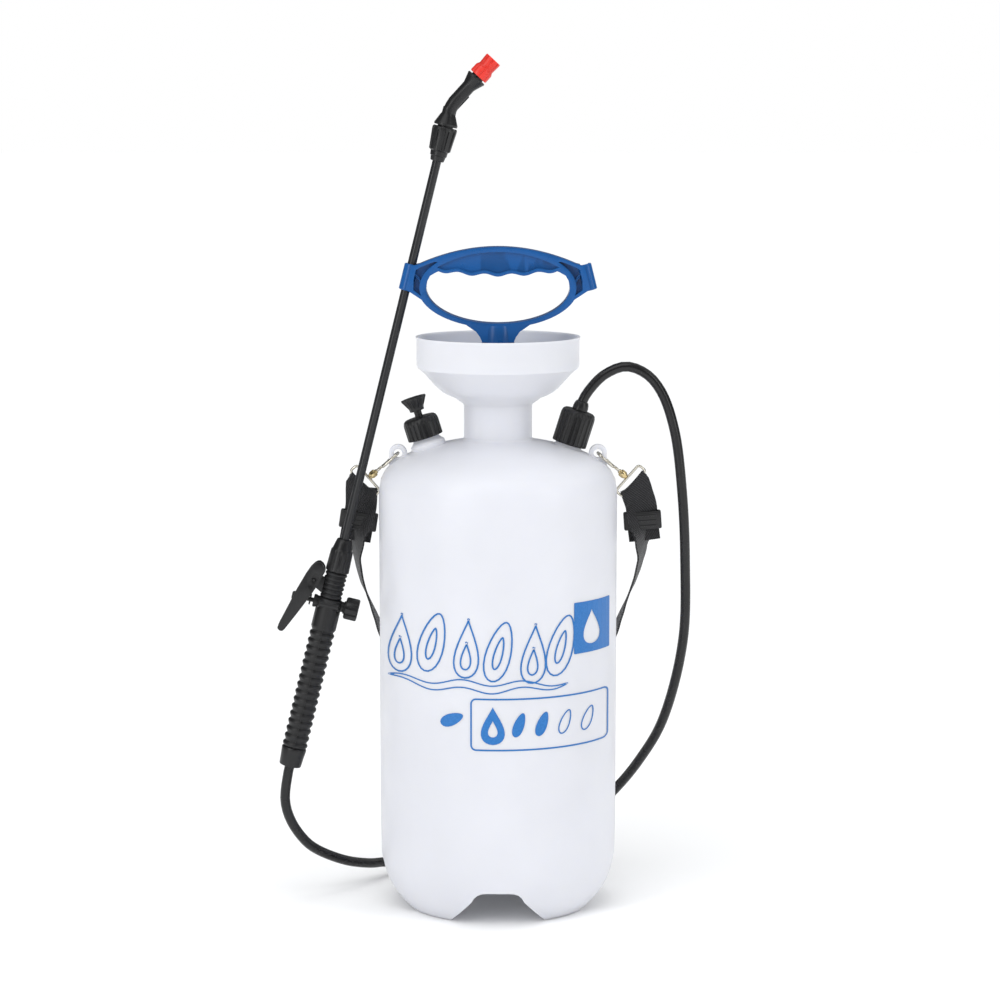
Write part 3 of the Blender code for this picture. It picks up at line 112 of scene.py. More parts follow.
# ---------------------------------------------------------------- what a user may change
class SprayerSizes(bpy.types.PropertyGroup):
    """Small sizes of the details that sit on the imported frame."""
    hose_radius: bpy.props.FloatProperty(
        name="Hose radius", description="Outer radius of the hose", default=0.004,
        min=0.002, max=0.006, unit="LENGTH", subtype="DISTANCE")
    strap_width: bpy.props.FloatProperty(
        name="Strap width", description="Width of the webbing", default=0.025,
        min=0.015, max=0.028, unit="LENGTH", subtype="DISTANCE")
    grip_ribs: bpy.props.IntProperty(
        name="Grip ribs", description="Ribs around the lance's handle", default=16,
        min=8, max=24)
    edge_round: bpy.props.FloatProperty(
        name="Edge rounding", description="Rounding of the moulded edges", default=0.0005,
        min=0.0, max=0.001, precision=5, unit="LENGTH", subtype="DISTANCE")
    print_stroke: bpy.props.FloatProperty(
        name="Print stroke", description="Line width of the printed motif", default=0.0013,
        min=0.0004, max=0.002, precision=5, unit="LENGTH", subtype="DISTANCE")


def colour_property(name, words, value):
    return bpy.props.FloatVectorProperty(name=name, description=words, subtype="COLOR", size=3,
                                         default=value, min=0.0, max=1.0)


class SprayerColours(bpy.types.PropertyGroup):
    """Colours of the main mouldings and of the print."""
    tank: colour_property("Tank", "Natural polyethylene of the tank", (0.683, 0.690, 0.732))
    handle: colour_property("Handle", "Moulding of the pump handle", (0.0008, 0.060, 0.215))
    black: colour_property("Black parts", "Nuts, grip and caps", (0.0065, 0.0065, 0.0072))
    cap: colour_property("Nozzle cap", "Adjusting cap of the nozzle", (0.60, 0.022, 0.012))
    printed: colour_property("Print", "Ink of the printed motif", (0.004, 0.135, 0.42))


# ---------------------------------------------------------------- finishes
def link(tree, start, end):
    tree.links.new(start, end)


def add_node(tree, kind, **inputs):
    node = tree.nodes.new(kind)
    for key, value in inputs.items():
        node.inputs[key.replace("_", " ")].default_value = value
    return node


def new_finish(name):
    finish = bpy.data.materials.new(name)
    finish.use_nodes = True
    tree = finish.node_tree
    tree.nodes.clear()
    output = tree.nodes.new("ShaderNodeOutputMaterial")
    shader = tree.nodes.new("ShaderNodeBsdfPrincipled")
    link(tree, shader.outputs["BSDF"], output.inputs["Surface"])
    place = tree.nodes.new("ShaderNodeTexCoord")
    return finish, tree, shader, place.outputs["Object"]


def noise(tree, place, scale, detail=3.0, roughness=0.55, stretch=None):
    if stretch is not None:
        mapping = tree.nodes.new("ShaderNodeMapping")
        mapping.inputs["Scale"].default_value = stretch
        link(tree, place, mapping.inputs["Vector"])
        place = mapping.outputs["Vector"]
    node = add_node(tree, "ShaderNodeTexNoise", Scale=scale, Detail=detail, Roughness=roughness)
    link(tree, place, node.inputs["Vector"])
    return node.outputs["Fac"]


def spread_value(tree, value, low, high, start=0.3, end=0.7):
    node = tree.nodes.new("ShaderNodeMapRange")
    for key, number in (("From Min", start), ("From Max", end), ("To Min", low), ("To Max", high)):
        node.inputs[key].default_value = number
    link(tree, value, node.inputs["Value"])
    return node.outputs["Result"]


def mixed(tree, factor, first, second):
    node = tree.nodes.new("ShaderNodeMix")
    node.data_type = "RGBA"
    link(tree, factor, node.inputs["Factor"])
    for socket, value in ((node.inputs["A"], first), (node.inputs["B"], second)):
        if hasattr(value, "links"):
            link(tree, value, socket)
        else:
            socket.default_value = (*value, 1.0)
    return node.outputs["Result"]


def bumps(tree, shader, heights, distance, strength=1.0):
    """Stacks height patterns, each with its own depth in metres, under the shader."""
    normal = None
    for height, depth in zip(heights, distance):
        node = add_node(tree, "ShaderNodeBump", Strength=strength, Distance=depth)
        link(tree, height, node.inputs["Height"])
        if normal is not None:
            link(tree, normal, node.inputs["Normal"])
        normal = node.outputs["Normal"]
    link(tree, normal, shader.inputs["Normal"])


def painted_edge_highlight(tree, base, lighter, amount):
    """Painted highlight: a little lighter along the moulded edges, from the surface's own pointiness."""
    geometry = tree.nodes.new("ShaderNodeNewGeometry")
    edge = spread_value(tree, geometry.outputs["Pointiness"], 0.0, amount, 0.505, 0.56)
    return mixed(tree, edge, base, lighter)


def moulded(name, colour, roughness=0.36, grain=(2600.0, 0.000012), shade=0.16, dust=0.05,
            spec=0.42, highlight_amount=0.35, coat=0.0, highlight_lift=0.03):
    """Injection-moulded plastic: fine grain, slow shade changes, and a painted highlight on the convex
    edges.
    """
    finish, tree, shader, place = new_finish(name)
    dark = [c * (1 - shade) for c in colour]
    light = [min(1.0, c * (1 + shade) + 0.002) for c in colour]
    base = mixed(tree, spread_value(tree, noise(tree, place, 38.0), 0.0, 1.0), dark, light)
    # painted highlight: the convex edges are lightened toward a paler copy of the moulding's colour
    pale = [min(1.0, c * 1.6 + highlight_lift) for c in colour]
    base = painted_edge_highlight(tree, base, pale, highlight_amount)
    link(tree, base, shader.inputs["Base Color"])
    smears = spread_value(tree, noise(tree, place, 55.0, 4.0), roughness - dust, roughness + dust)
    link(tree, smears, shader.inputs["Roughness"])
    shader.inputs["Specular IOR Level"].default_value = spec
    shader.inputs["Coat Weight"].default_value = coat
    shader.inputs["Coat Roughness"].default_value = 0.25
    fine = noise(tree, place, grain[0], 2.0)
    slow = noise(tree, place, 90.0, 2.0)
    bumps(tree, shader, (slow, fine), (0.00006, grain[1]))
    return finish


def metal(name, colour, second, roughness, brushed=None):
    finish, tree, shader, place = new_finish(name)
    patches = noise(tree, place, 260.0, 4.0, stretch=brushed)
    base = mixed(tree, spread_value(tree, patches, 0.0, 1.0), colour, second)
    link(tree, base, shader.inputs["Base Color"])
    rough = spread_value(tree, noise(tree, place, 420.0, 3.0), roughness * 0.7, roughness * 1.5)
    link(tree, rough, shader.inputs["Roughness"])
    shader.inputs["Metallic"].default_value = 1.0
    bumps(tree, shader, (noise(tree, place, 1800.0, 2.0),), (0.00001,))
    return finish


def tank_finish(name, colour):
    """Milky blow-moulded polyethylene: soft sheen, faint mottling, light let through."""
    finish, tree, shader, place = new_finish(name)
    cloud = spread_value(tree, noise(tree, place, 9.0, 4.0), 0.0, 1.0)
    base = mixed(tree, cloud, [c * 0.965 for c in colour], [min(1.0, c * 1.03) for c in colour])
    link(tree, base, shader.inputs["Base Color"])
    rough = spread_value(tree, noise(tree, place, 30.0, 3.0), 0.33, 0.45)
    link(tree, rough, shader.inputs["Roughness"])
    shader.inputs["Subsurface Weight"].default_value = 0.35
    shader.inputs["Subsurface Radius"].default_value = (0.012, 0.013, 0.016)
    shader.inputs["Subsurface Scale"].default_value = 0.6
    shader.inputs["Specular IOR Level"].default_value = 0.45
    slow = noise(tree, place, 22.0, 3.0, stretch=(1.0, 1.0, 0.35))
    fine = noise(tree, place, 900.0, 2.0)
    bumps(tree, shader, (slow, fine), (0.00055, 0.000012))
    return finish


def ink_finish(name, colour):
    """Screen-printed ink: slightly uneven cover, a little glossier than the tank."""
    finish, tree, shader, place = new_finish(name)
    cover = spread_value(tree, noise(tree, place, 700.0, 3.0), 0.0, 1.0, 0.35, 0.75)
    base = mixed(tree, cover, colour, [min(1.0, c * 1.15 + 0.012) for c in colour])
    link(tree, base, shader.inputs["Base Color"])
    rough = spread_value(tree, noise(tree, place, 45.0), 0.28, 0.38)
    link(tree, rough, shader.inputs["Roughness"])
    bumps(tree, shader, (noise(tree, place, 1500.0, 2.0),), (0.000012,))
    return finish


def webbing_finish(name):
    """Woven webbing: the weave follows the strap's own length and width."""
    finish, tree, shader, _ = new_finish(name)
    uv = tree.nodes.new("ShaderNodeUVMap")
    uv.uv_map = "run"
    heights = []
    for turn in (0.62, -0.62):
        mapping = tree.nodes.new("ShaderNodeMapping")
        mapping.inputs["Rotation"].default_value = (0.0, 0.0, turn)
        link(tree, uv.outputs["UV"], mapping.inputs["Vector"])
        wave = add_node(tree, "ShaderNodeTexWave", Scale=190.0, Distortion=0.4)
        wave.wave_profile = "SIN"
        link(tree, mapping.outputs["Vector"], wave.inputs["Vector"])
        heights.append(wave.outputs["Fac"])
    base = mixed(tree, heights[0], (0.006, 0.006, 0.0065), (0.028, 0.028, 0.031))
    link(tree, base, shader.inputs["Base Color"])
    shader.inputs["Roughness"].default_value = 0.82
    shader.inputs["Sheen Weight"].default_value = 0.35
    shader.inputs["Sheen Roughness"].default_value = 0.4
    bumps(tree, shader, heights, (0.00022, 0.00022))
    return finish


def floor_finish(name):
    finish, tree, shader, place = new_finish(name)
    base = mixed(tree, noise(tree, place, 3.0), (0.968, 0.968, 0.968), (0.984, 0.984, 0.984))
    link(tree, base, shader.inputs["Base Color"])
    shader.inputs["Roughness"].default_value = 1.0
    shader.inputs["Specular IOR Level"].default_value = 0.0
    return finish


FINISHES = {}


def make_finishes(colours):
    black = tuple(colours.black)
    # The edge settings of each moulding set its painted edge highlight; the blue handle gets the
    # strongest.
    FINISHES.update({
        "tank": tank_finish("natural_polyethylene", tuple(colours.tank)),
        "handle": moulded("blue_moulding", tuple(colours.handle), 0.30, (2200.0, 0.00001),
                          shade=0.10, highlight_amount=0.55, coat=0.1, spec=0.3, highlight_lift=0.006),
        "black": moulded("black_moulding", black, 0.36, (2600.0, 0.000014), highlight_amount=0.22,
                        highlight_lift=0.014),
        "grip": moulded("black_grip", black, 0.42, (1600.0, 0.00003), highlight_amount=0.25,
                       highlight_lift=0.014),
        "tube": moulded("dark_tube", (0.014, 0.0145, 0.016), 0.30, (500.0, 0.00001), highlight_amount=0.1),
        "cap": moulded("red_moulding", tuple(colours.cap), 0.33, (2200.0, 0.00001), shade=0.1,
                       highlight_lift=0.012),
        "ink": ink_finish("print_ink", tuple(colours.printed)),
        "hose": moulded("hose_skin", (0.006, 0.006, 0.0066), 0.27, (420.0, 0.00002), highlight_amount=0.0),
        "rubber": moulded("seal_rubber", (0.014, 0.014, 0.014), 0.62, (900.0, 0.00003)),
        "grey": moulded("grey_moulding", (0.28, 0.29, 0.31), 0.42),
        "clear": moulded("natural_tube", (0.70, 0.74, 0.76), 0.28),
        "nickel": metal("nickel_plate", (0.72, 0.68, 0.58), (0.60, 0.57, 0.50), 0.20),
        "brass": metal("yellowed_swivel", (0.76, 0.62, 0.34), (0.60, 0.47, 0.24), 0.26),
        "steel": metal("spring_wire", (0.58, 0.59, 0.60), (0.45, 0.46, 0.47), 0.28),
        "webbing": webbing_finish("woven_webbing"),
    })


HIDDEN_FINISHES = {
    "tank_plastic": "tank", "black_plastic": "black", "blue_plastic": "handle",
    "red_plastic": "cap", "grey_plastic": "grey", "lance_tube": "tube", "rubber": "rubber",
    "hose_rubber": "hose", "webbing": "webbing", "nickel": "nickel", "steel": "steel",
    "clear_plastic": "clear",
}


def dress_frame_nodes():
    """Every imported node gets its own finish, by the slot its record names."""
    for entry in frame["record"]["subparts"]:
        thing = frame["nodes"][entry["node"]]
        thing.data.materials.clear()
        thing.data.materials.append(FINISHES[HIDDEN_FINISHES[entry["material_slot"]]])


# ---------------------------------------------------------------- modelling by operators
def leave_edit():
    if bpy.context.object is not None and bpy.context.object.mode != "OBJECT":
        bpy.ops.object.mode_set(mode="OBJECT")


def only(*things):
    leave_edit()
    bpy.ops.object.select_all(action="DESELECT")
    for thing in things:
        thing.hide_set(False)
        thing.select_set(True)
    bpy.context.view_layer.objects.active = things[0]


def begin(name, primitive, **settings):
    """Adds a primitive with nothing else selected and opens it for shaping."""
    leave_edit()
    bpy.ops.object.select_all(action="DESELECT")
    primitive(**settings)
    piece = bpy.context.object
    piece.name = piece.data.name = name
    bpy.ops.object.mode_set(mode="EDIT")
    bpy.ops.mesh.select_mode(type="VERT")
    bpy.ops.mesh.select_all(action="SELECT")
    return piece


def chain(points):
    """Draws a line of edges through the points by extruding one corner on and on."""
    bpy.ops.mesh.merge(type="CENTER")
    bpy.ops.transform.translate(value=points[0])
    for before, after in zip(points, points[1:]):
        step = Vector(after) - Vector(before)
        bpy.ops.mesh.extrude_vertices_move(TRANSFORM_OT_translate={"value": step})


def new_chain(points):
    bpy.ops.mesh.select_all(action="DESELECT")
    bpy.ops.mesh.primitive_plane_add(size=0.001, location=(0.0, 0.0, 0.0))
    chain(points)


def tidy_shell():
    bpy.ops.mesh.select_mode(type="VERT")
    bpy.ops.mesh.select_all(action="SELECT")
    bpy.ops.mesh.remove_doubles(threshold=0.000002)
    bpy.ops.mesh.normals_make_consistent(inside=False)


def turned(name, outline, steps=64, closed=False):
    """A lathe shape from (radius, height) points, spun round +Z."""
    piece = begin(name, bpy.ops.mesh.primitive_plane_add, size=0.001)
    points = [(r, 0.0, z) for r, z in outline]
    chain(points + points[:1] if closed else points)
    bpy.ops.mesh.select_all(action="SELECT")
    bpy.ops.mesh.spin(steps=steps, angle=2 * math.pi, center=(0, 0, 0), axis=(0, 0, 1))
    tidy_shell()
    return piece


def fluted(name, count, sections, per=6, low=(0, 1), closed=True):
    """A nut with flutes: rings of (height, radius, flute depth as a share of the radius)."""
    piece = begin(name, bpy.ops.mesh.primitive_circle_add, vertices=count * per,
                  radius=sections[0][1], fill_type="NOTHING")
    bpy.ops.transform.translate(value=(0.0, 0.0, sections[0][0]))
    last_z, last_r, last_dip = sections[0][0], sections[0][1], 0.0
    for index, (z, r, dip) in enumerate(sections):
        if index:
            bpy.ops.mesh.extrude_region_move(TRANSFORM_OT_translate={"value": (0, 0, z - last_z)})
        ring = ring_by_angle(piece)
        grow = r / last_r
        bpy.ops.transform.resize(value=(grow, grow, 1.0), center_override=(0, 0, z))
        if abs(dip - last_dip) > 1e-6:
            take(piece, [i for n, i in enumerate(ring) if n % per in low])
            shrink = (1 - dip) / (1 - last_dip)
            bpy.ops.transform.resize(value=(shrink, shrink, 1.0), center_override=(0, 0, z))
            take(piece, ring)
        last_z, last_r, last_dip = z, r, dip
    bpy.ops.mesh.select_all(action="DESELECT")
    bpy.ops.mesh.select_non_manifold()
    if closed:
        bpy.ops.mesh.bridge_edge_loops()
    else:
        bpy.ops.mesh.fill_holes(sides=0)
    tidy_shell()
    return piece


def ring_by_angle(piece):
    shape = bmesh.from_edit_mesh(piece.data)
    chosen = [v for v in shape.verts if v.select]
    chosen.sort(key=lambda v: math.atan2(v.co.y, v.co.x) % (2 * math.pi - 1e-4))
    return [v.index for v in chosen]


def take(piece, indices):
    shape = bmesh.from_edit_mesh(piece.data)
    shape.verts.ensure_lookup_table()
    bpy.ops.mesh.select_all(action="DESELECT")
    for index in indices:
        shape.verts[index].select = True
    shape.select_flush(True)
    bmesh.update_edit_mesh(piece.data)


def plate(name, outlines, half_depth, at_y=0.0):
    """A flat moulding: outlines in X and Z (the later ones are openings), thick in Y."""
    piece = begin(name, bpy.ops.mesh.primitive_plane_add, size=0.001)
    for index, outline in enumerate(outlines):
        points = [(x, at_y - half_depth, z) for x, z in outline]
        if index:
            new_chain(points + points[:1])
        else:
            chain(points + points[:1])
    bpy.ops.mesh.select_all(action="SELECT")
    bpy.ops.mesh.remove_doubles(threshold=0.000002)
    bpy.ops.mesh.fill(use_beauty=True)
    bpy.ops.mesh.select_all(action="SELECT")
    bpy.ops.mesh.extrude_region_move(TRANSFORM_OT_translate={"value": (0, 2 * half_depth, 0)})
    tidy_shell()
    return piece


def swept(name, points, radius, cyclic=False, sides=3):
    """A round wire or tube along the points, made a mesh."""
    leave_edit()
    bpy.ops.object.select_all(action="DESELECT")
    bpy.ops.curve.primitive_bezier_curve_add(location=(0, 0, 0))
    piece = bpy.context.object
    curve = piece.data
    curve.splines.clear()
    curve.dimensions = "3D"
    curve.bevel_depth = radius
    curve.bevel_resolution = sides
    curve.use_fill_caps = not cyclic
    curve.resolution_u = 1
    spline = curve.splines.new("POLY")
    spline.points.add(len(points) - 1)
    for point, place in zip(spline.points, points):
        point.co = (*place, 1.0)
    spline.use_cyclic_u = cyclic
    bpy.ops.object.convert(target="MESH")
    piece = bpy.context.object
    piece.name = piece.data.name = name
    bpy.ops.object.mode_set(mode="EDIT")
    tidy_shell()
    bpy.ops.object.mode_set(mode="OBJECT")
    return piece


def apply_all(piece):
    only(piece)
    for modifier in list(piece.modifiers):
        bpy.ops.object.modifier_apply(modifier=modifier.name)


def rounded(piece, width, segments=2, angle=32.0):
    only(piece)
    bevel = piece.modifiers.new("round", "BEVEL")
    bevel.width = width
    bevel.segments = segments
    bevel.limit_method = "ANGLE"
    bevel.angle_limit = math.radians(angle)
    apply_all(piece)


def combine(piece, other, operation="DIFFERENCE"):
    only(piece)
    boolean = piece.modifiers.new("shape", "BOOLEAN")
    boolean.operation = operation
    boolean.solver = "EXACT"
    boolean.object = other
    apply_all(piece)
    bpy.data.objects.remove(other, do_unlink=True)


def joined(name, first, *others):
    only(first, *others)
    bpy.ops.object.join()
    first.name = first.data.name = name
    return first


def settle(piece, place):
    """Puts a finished piece at its place and moves that place into its mesh."""
    only(piece)
    piece.matrix_world = place @ piece.matrix_world
    bpy.ops.object.transform_apply(location=True, rotation=True, scale=True)
    return piece


def finish_piece(piece, finish, body, *nodes, place=None, smooth=35.0, slot=None):
    if place is not None:
        settle(piece, place)
    only(piece)
    if smooth:
        bpy.ops.object.shade_smooth_by_angle(angle=math.radians(smooth))
    if finish is not None:
        piece.data.materials.clear()
        piece.data.materials.append(FINISHES[finish])
    if body is not None:
        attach(piece, body)
    if nodes:
        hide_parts(*nodes)
    return piece


def smooth_points(route, spacing):
    """Points at an even spacing on a centripetal spline through the route's points."""
    points = [Vector(p) for p in route]
    points = [2 * points[0] - points[1], *points, 2 * points[-1] - points[-2]]
    fine = []
    for p0, p1, p2, p3 in zip(points, points[1:], points[2:], points[3:]):
        t1 = (p1 - p0).length ** 0.5
        t2 = t1 + (p2 - p1).length ** 0.5
        t3 = t2 + (p3 - p2).length ** 0.5
        for step in range(24):
            t = t1 + (t2 - t1) * step / 24
            a1 = p0.lerp(p1, t / t1)
            a2 = p1.lerp(p2, (t - t1) / (t2 - t1))
            a3 = p2.lerp(p3, (t - t2) / (t3 - t2))
            b1 = a1.lerp(a2, t / t2)
            b2 = a2.lerp(a3, (t - t1) / (t3 - t1))
            fine.append(b1.lerp(b2, (t - t1) / (t2 - t1)))
    fine.append(points[-2])
    return even_points(fine, spacing)


def even_points(fine, spacing):
    lengths = [0.0]
    for a, b in zip(fine, fine[1:]):
        lengths.append(lengths[-1] + (b - a).length)
    count = max(2, round(lengths[-1] / spacing))
    result = []
    index = 0
    for i in range(count + 1):
        wanted = lengths[-1] * i / count
        while index < len(fine) - 2 and lengths[index + 1] < wanted:
            index += 1
        share = (wanted - lengths[index]) / (lengths[index + 1] - lengths[index])
        result.append(fine[index].lerp(fine[index + 1], min(1.0, max(0.0, share))))
    return result


def run_length(points):
    return sum((b - a).length for a, b in zip(points, points[1:]))


# ---------------------------------------------------------------- operators
class SPRAYER_OT_stage(bpy.types.Operator):
    """Floor, soft studio light and the camera"""
    bl_idname = "sprayer.stage"
    bl_label = "Stage"

    def execute(self, context):
        leave_edit()
        bpy.ops.object.select_all(action="DESELECT")
        bpy.ops.mesh.primitive_plane_add(size=60.0, location=(0.0, 0.0, -0.0005))
        floor = context.object
        floor.name = floor.data.name = "floor"
        floor.data.materials.append(floor_finish("pale_floor"))
        world = bpy.data.worlds.new("studio")
        world.use_nodes = True
        tree = world.node_tree
        output = tree.nodes["World Output"]
        seen = tree.nodes["Background"]
        seen.inputs["Color"].default_value = (1.0, 1.0, 1.0, 1.0)
        seen.inputs["Strength"].default_value = 1.0
        around = add_node(tree, "ShaderNodeBackground", Color=(0.97, 0.985, 1.0, 1.0),
                          Strength=0.69)
        mirrored = add_node(tree, "ShaderNodeBackground", Color=(0.97, 0.985, 1.0, 1.0),
                            Strength=0.16)
        rays = tree.nodes.new("ShaderNodeLightPath")
        lit = tree.nodes.new("ShaderNodeMixShader")
        link(tree, rays.outputs["Is Glossy Ray"], lit.inputs["Fac"])
        link(tree, around.outputs["Background"], lit.inputs[1])
        link(tree, mirrored.outputs["Background"], lit.inputs[2])
        choice = tree.nodes.new("ShaderNodeMixShader")
        link(tree, rays.outputs["Is Camera Ray"], choice.inputs["Fac"])
        link(tree, lit.outputs["Shader"], choice.inputs[1])
        link(tree, seen.outputs["Background"], choice.inputs[2])
        link(tree, choice.outputs["Shader"], output.inputs["Surface"])
        context.scene.world = world
        context.scene.view_settings.view_transform = "Standard"
        skies = (("front_sky", (-0.45, -1.0, 1.75), 0.85, 50.0),
                 ("rear_sky", (0.9, 0.8, 1.7), 0.55, 70.0))
        for name, place, power, spread in skies:
            bpy.ops.object.light_add(type="SUN", location=place)
            lamp = context.object
            lamp.name = name
            lamp.data.energy = power
            lamp.data.angle = math.radians(spread)
            lamp.rotation_euler = (-Vector(place)).to_track_quat("-Z", "Y").to_euler()
        boxes = (("left_softbox", (-1.1, -1.3, 0.9), (0.35, 1.4), 7.5),
                 ("right_softbox", (1.3, -0.9, 0.9), (0.30, 1.4), 5.5))
        for name, place, size, power in boxes:
            bpy.ops.object.light_add(type="AREA", location=place)
            lamp = context.object
            lamp.name = name
            lamp.data.shape = "RECTANGLE"
            lamp.data.size, lamp.data.size_y = size
            lamp.data.energy = power
            lamp.rotation_euler = (Vector((0.0, 0.0, 0.35)) - Vector(place)).to_track_quat(
                "-Z", "Y").to_euler()
        bpy.ops.object.camera_add(location=(AXIS.x + 0.0016, AXIS.y - 2.413, 0.650),
                                  rotation=(math.radians(82.36), 0.0, 0.0))
        camera = context.object
        camera.name = "camera"
        camera.data.lens = 109.94
        camera.data.sensor_width = 36.0
        context.scene.camera = camera
        return {"FINISHED"}


def hose_points():
    outlet_way = (OUTLET.to_3x3() @ Vector((0, 0, 1))).normalized()
    lance_way = (LANCE.to_3x3() @ Vector((0, 0, 1))).normalized()
    start = OUTLET @ Vector((0, 0, 0.0289))
    end = LANCE @ Vector((0, 0, -0.3987))
    middle = [AXIS + Vector(p) for p in HOSE_ROUTE]
    route = [start, start + outlet_way * 0.008, *middle, end - lance_way * 0.012, end]
    return smooth_points(route, 0.0055)


class SPRAYER_OT_hose(bpy.types.Operator):
    """Hose from the tank's outlet round behind the tank to the grip"""
    bl_idname = "sprayer.hose"
    bl_label = "Hose"

    def execute(self, context):
        sizes = context.scene.sprayer_sizes
        points = hose_points()
        piece = swept("hose_tube", points, sizes.hose_radius, sides=7)
        finish_piece(piece, "hose", None, "hose", slot="hose_rubber", smooth=50.0)
        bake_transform(piece)
        return {"FINISHED"}


# ---------------------------------------------------------------- tank
TANK_SIDE = [
    (0.0653, 0.4570), (0.0649, 0.4553), (0.0645, 0.4540), (0.0645, 0.4350), (0.0637, 0.4322),
    (0.0600, 0.4295), (0.0480, 0.4164), (0.0437, 0.4130), (0.0400, 0.4110), (0.0340, 0.4085),
    (0.0314, 0.4064), (0.0278, 0.4040), (0.0270, 0.4025), (0.0270, 0.3770), (0.0284, 0.3751),
    (0.0412, 0.3727), (0.0567, 0.3692), (0.0662, 0.3658), (0.0769, 0.3608), (0.0844, 0.3562),
    (0.0901, 0.3501), (0.0935, 0.3436), (0.0945, 0.3360), (0.0947, 0.3200), (0.0945, 0.2950),
    (0.0944, 0.2000), (0.0943, 0.0900), (0.0940, 0.0520), (0.0935, 0.0380), (0.0918, 0.0310),
    (0.0900, 0.0236), (0.0862, 0.0155), (0.0815, 0.0084), (0.0775, 0.0036), (0.0740, 0.0),
]
FUNNEL_INSIDE = [
    (0.0, 0.4085), (0.0245, 0.4085), (0.0310, 0.4087), (0.0390, 0.4135), (0.0425, 0.4155),
    (0.0605, 0.4335), (0.0618, 0.4360), (0.0620, 0.4400), (0.0620, 0.4555), (0.0628, 0.4568),
]


def side_radius(z):
    """Radius of the tank's outer side at a height below its neck."""
    lower = [p for p in TANK_SIDE if p[1] <= 0.3760]
    for (r0, z0), (r1, z1) in zip(lower, lower[1:]):
        if z1 <= z <= z0:
            return r0 + (r1 - r0) * (z0 - z) / max(1e-9, z0 - z1)
    return lower[-1][0]


def arch_cutter(name, turn):
    outline = [(-0.0389, -0.002), (0.0389, -0.002), (0.0205, 0.0200), (0.0188, 0.0235),
               (0.0160, 0.0262), (0.0125, 0.0276), (0.0080, 0.0280), (-0.0080, 0.0280),
               (-0.0125, 0.0276), (-0.0160, 0.0262), (-0.0188, 0.0235), (-0.0205, 0.0200)]
    cutter = plate(name, [outline], 0.12)
    leave_edit()
    cutter.rotation_euler = (0.0, 0.0, turn)
    only(cutter)
    bpy.ops.object.transform_apply(location=True, rotation=True, scale=True)
    return cutter


def rod(name, radius, low, high, place, steps=40):
    piece = turned(name, [(0.0, high), (radius, high), (radius, low), (0.0, low)], steps)
    leave_edit()
    return settle(piece, place)


def lug_plate(side):
    half, low, middle = 0.0072, 0.350, 0.364
    arc = [(half * math.cos(a), middle + half * math.sin(a))
           for a in (math.radians(15 * i) for i in range(13))]
    outline = [(-half, low), (half, low), *arc]
    outline = [(side * 0.0795 + x, z) for x, z in outline]
    hole = [(side * 0.0795 + 0.0035 * math.cos(a), middle + 0.0035 * math.sin(a))
            for a in (math.tau * i / 24 for i in range(24))]
    piece = plate(f"lug_{side}", [outline, hole], 0.00275)
    leave_edit()
    rounded(piece, 0.0006)
    return piece


class SPRAYER_OT_tank(bpy.types.Operator):
    """Tank with its funnel, ports, lugs and feet"""
    bl_idname = "sprayer.tank"
    bl_label = "Tank"

    def execute(self, context):
        outline = FUNNEL_INSIDE + TANK_SIDE + [(0.0, 0.0)]
        shell = turned("tank_shell", outline, 144)
        leave_edit()
        for name, turn in (("arch_front", 0.0), ("arch_side", math.pi / 2)):
            combine(shell, arch_cutter(name, turn))
        rounded(shell, 0.0022, 3, 40.0)
        collars = []
        for name, top, deep, place in (("outlet", 0.014, -0.012, OUTLET),
                                       ("relief", 0.010, -0.014, RELIEF)):
            collar = turned(f"{name}_collar", [(0.0, top), (0.0100, top), (0.0100, 0.0),
                                               (0.0112, -0.0024), (0.0140, -0.0052),
                                               (0.0140, deep), (0.0, deep)], 48)
            leave_edit()
            settle(collar, ROOT.inverted() @ place)
            collars.append(collar)
        for collar in collars:
            combine(shell, collar, "UNION")
        for side in (-1, 1):
            combine(shell, lug_plate(side), "UNION")
        seam_parts = []
        for side in (-1, 1):
            points = [Vector((side * (r - 0.00025), 0.0, z)) for r, z in TANK_SIDE[22:29]]
            seam_parts.append(swept(f"parting_{side}", even_points(points, 0.01), 0.0006))
        joined("tank_shell", shell, *seam_parts)
        finish_piece(shell, "tank", "tank", "tank", place=ROOT, smooth=32.0, slot="tank_plastic")
        return {"FINISHED"}


# ---------------------------------------------------------------- print
def on_tank(x, z, proud=0.00022):
    """A point just off the tank's side, from its place across and up as seen in front."""
    r = side_radius(z) + proud
    return Vector((x, -math.sqrt(max(1e-8, r * r - x * x)), z))


def wrapped(name, pieces, finish):
    """Flat printed shapes in X and Z, cut fine and laid on the tank's side."""
    first, *rest = pieces
    piece = joined(name, first, *rest) if rest else first
    only(piece)
    bpy.ops.object.mode_set(mode="EDIT")
    bpy.ops.mesh.select_mode(type="VERT")
    for step in range(-20, 21):
        bpy.ops.mesh.select_all(action="SELECT")
        across = 0.0945 * math.sin(math.radians(step * 4))
        bpy.ops.mesh.bisect(plane_co=(across, 0, 0), plane_no=(1, 0, 0))
    leave_edit()
    for point in piece.data.vertices:
        point.co = on_tank(point.co.x, point.co.z)
    only(piece)
    bpy.ops.object.mode_set(mode="EDIT")
    bpy.ops.mesh.select_all(action="SELECT")
    bpy.ops.mesh.remove_doubles(threshold=0.000002)
    bpy.ops.mesh.normals_make_consistent(inside=False)
    leave_edit()
    if sum(p.normal.y * p.area for p in piece.data.polygons) > 0:
        only(piece)
        bpy.ops.object.mode_set(mode="EDIT")
        bpy.ops.mesh.select_all(action="SELECT")
        bpy.ops.mesh.flip_normals()
        leave_edit()
    piece.name = piece.data.name = name
    return finish_piece(piece, finish, "tank", place=ROOT, smooth=0, slot="tank_plastic")


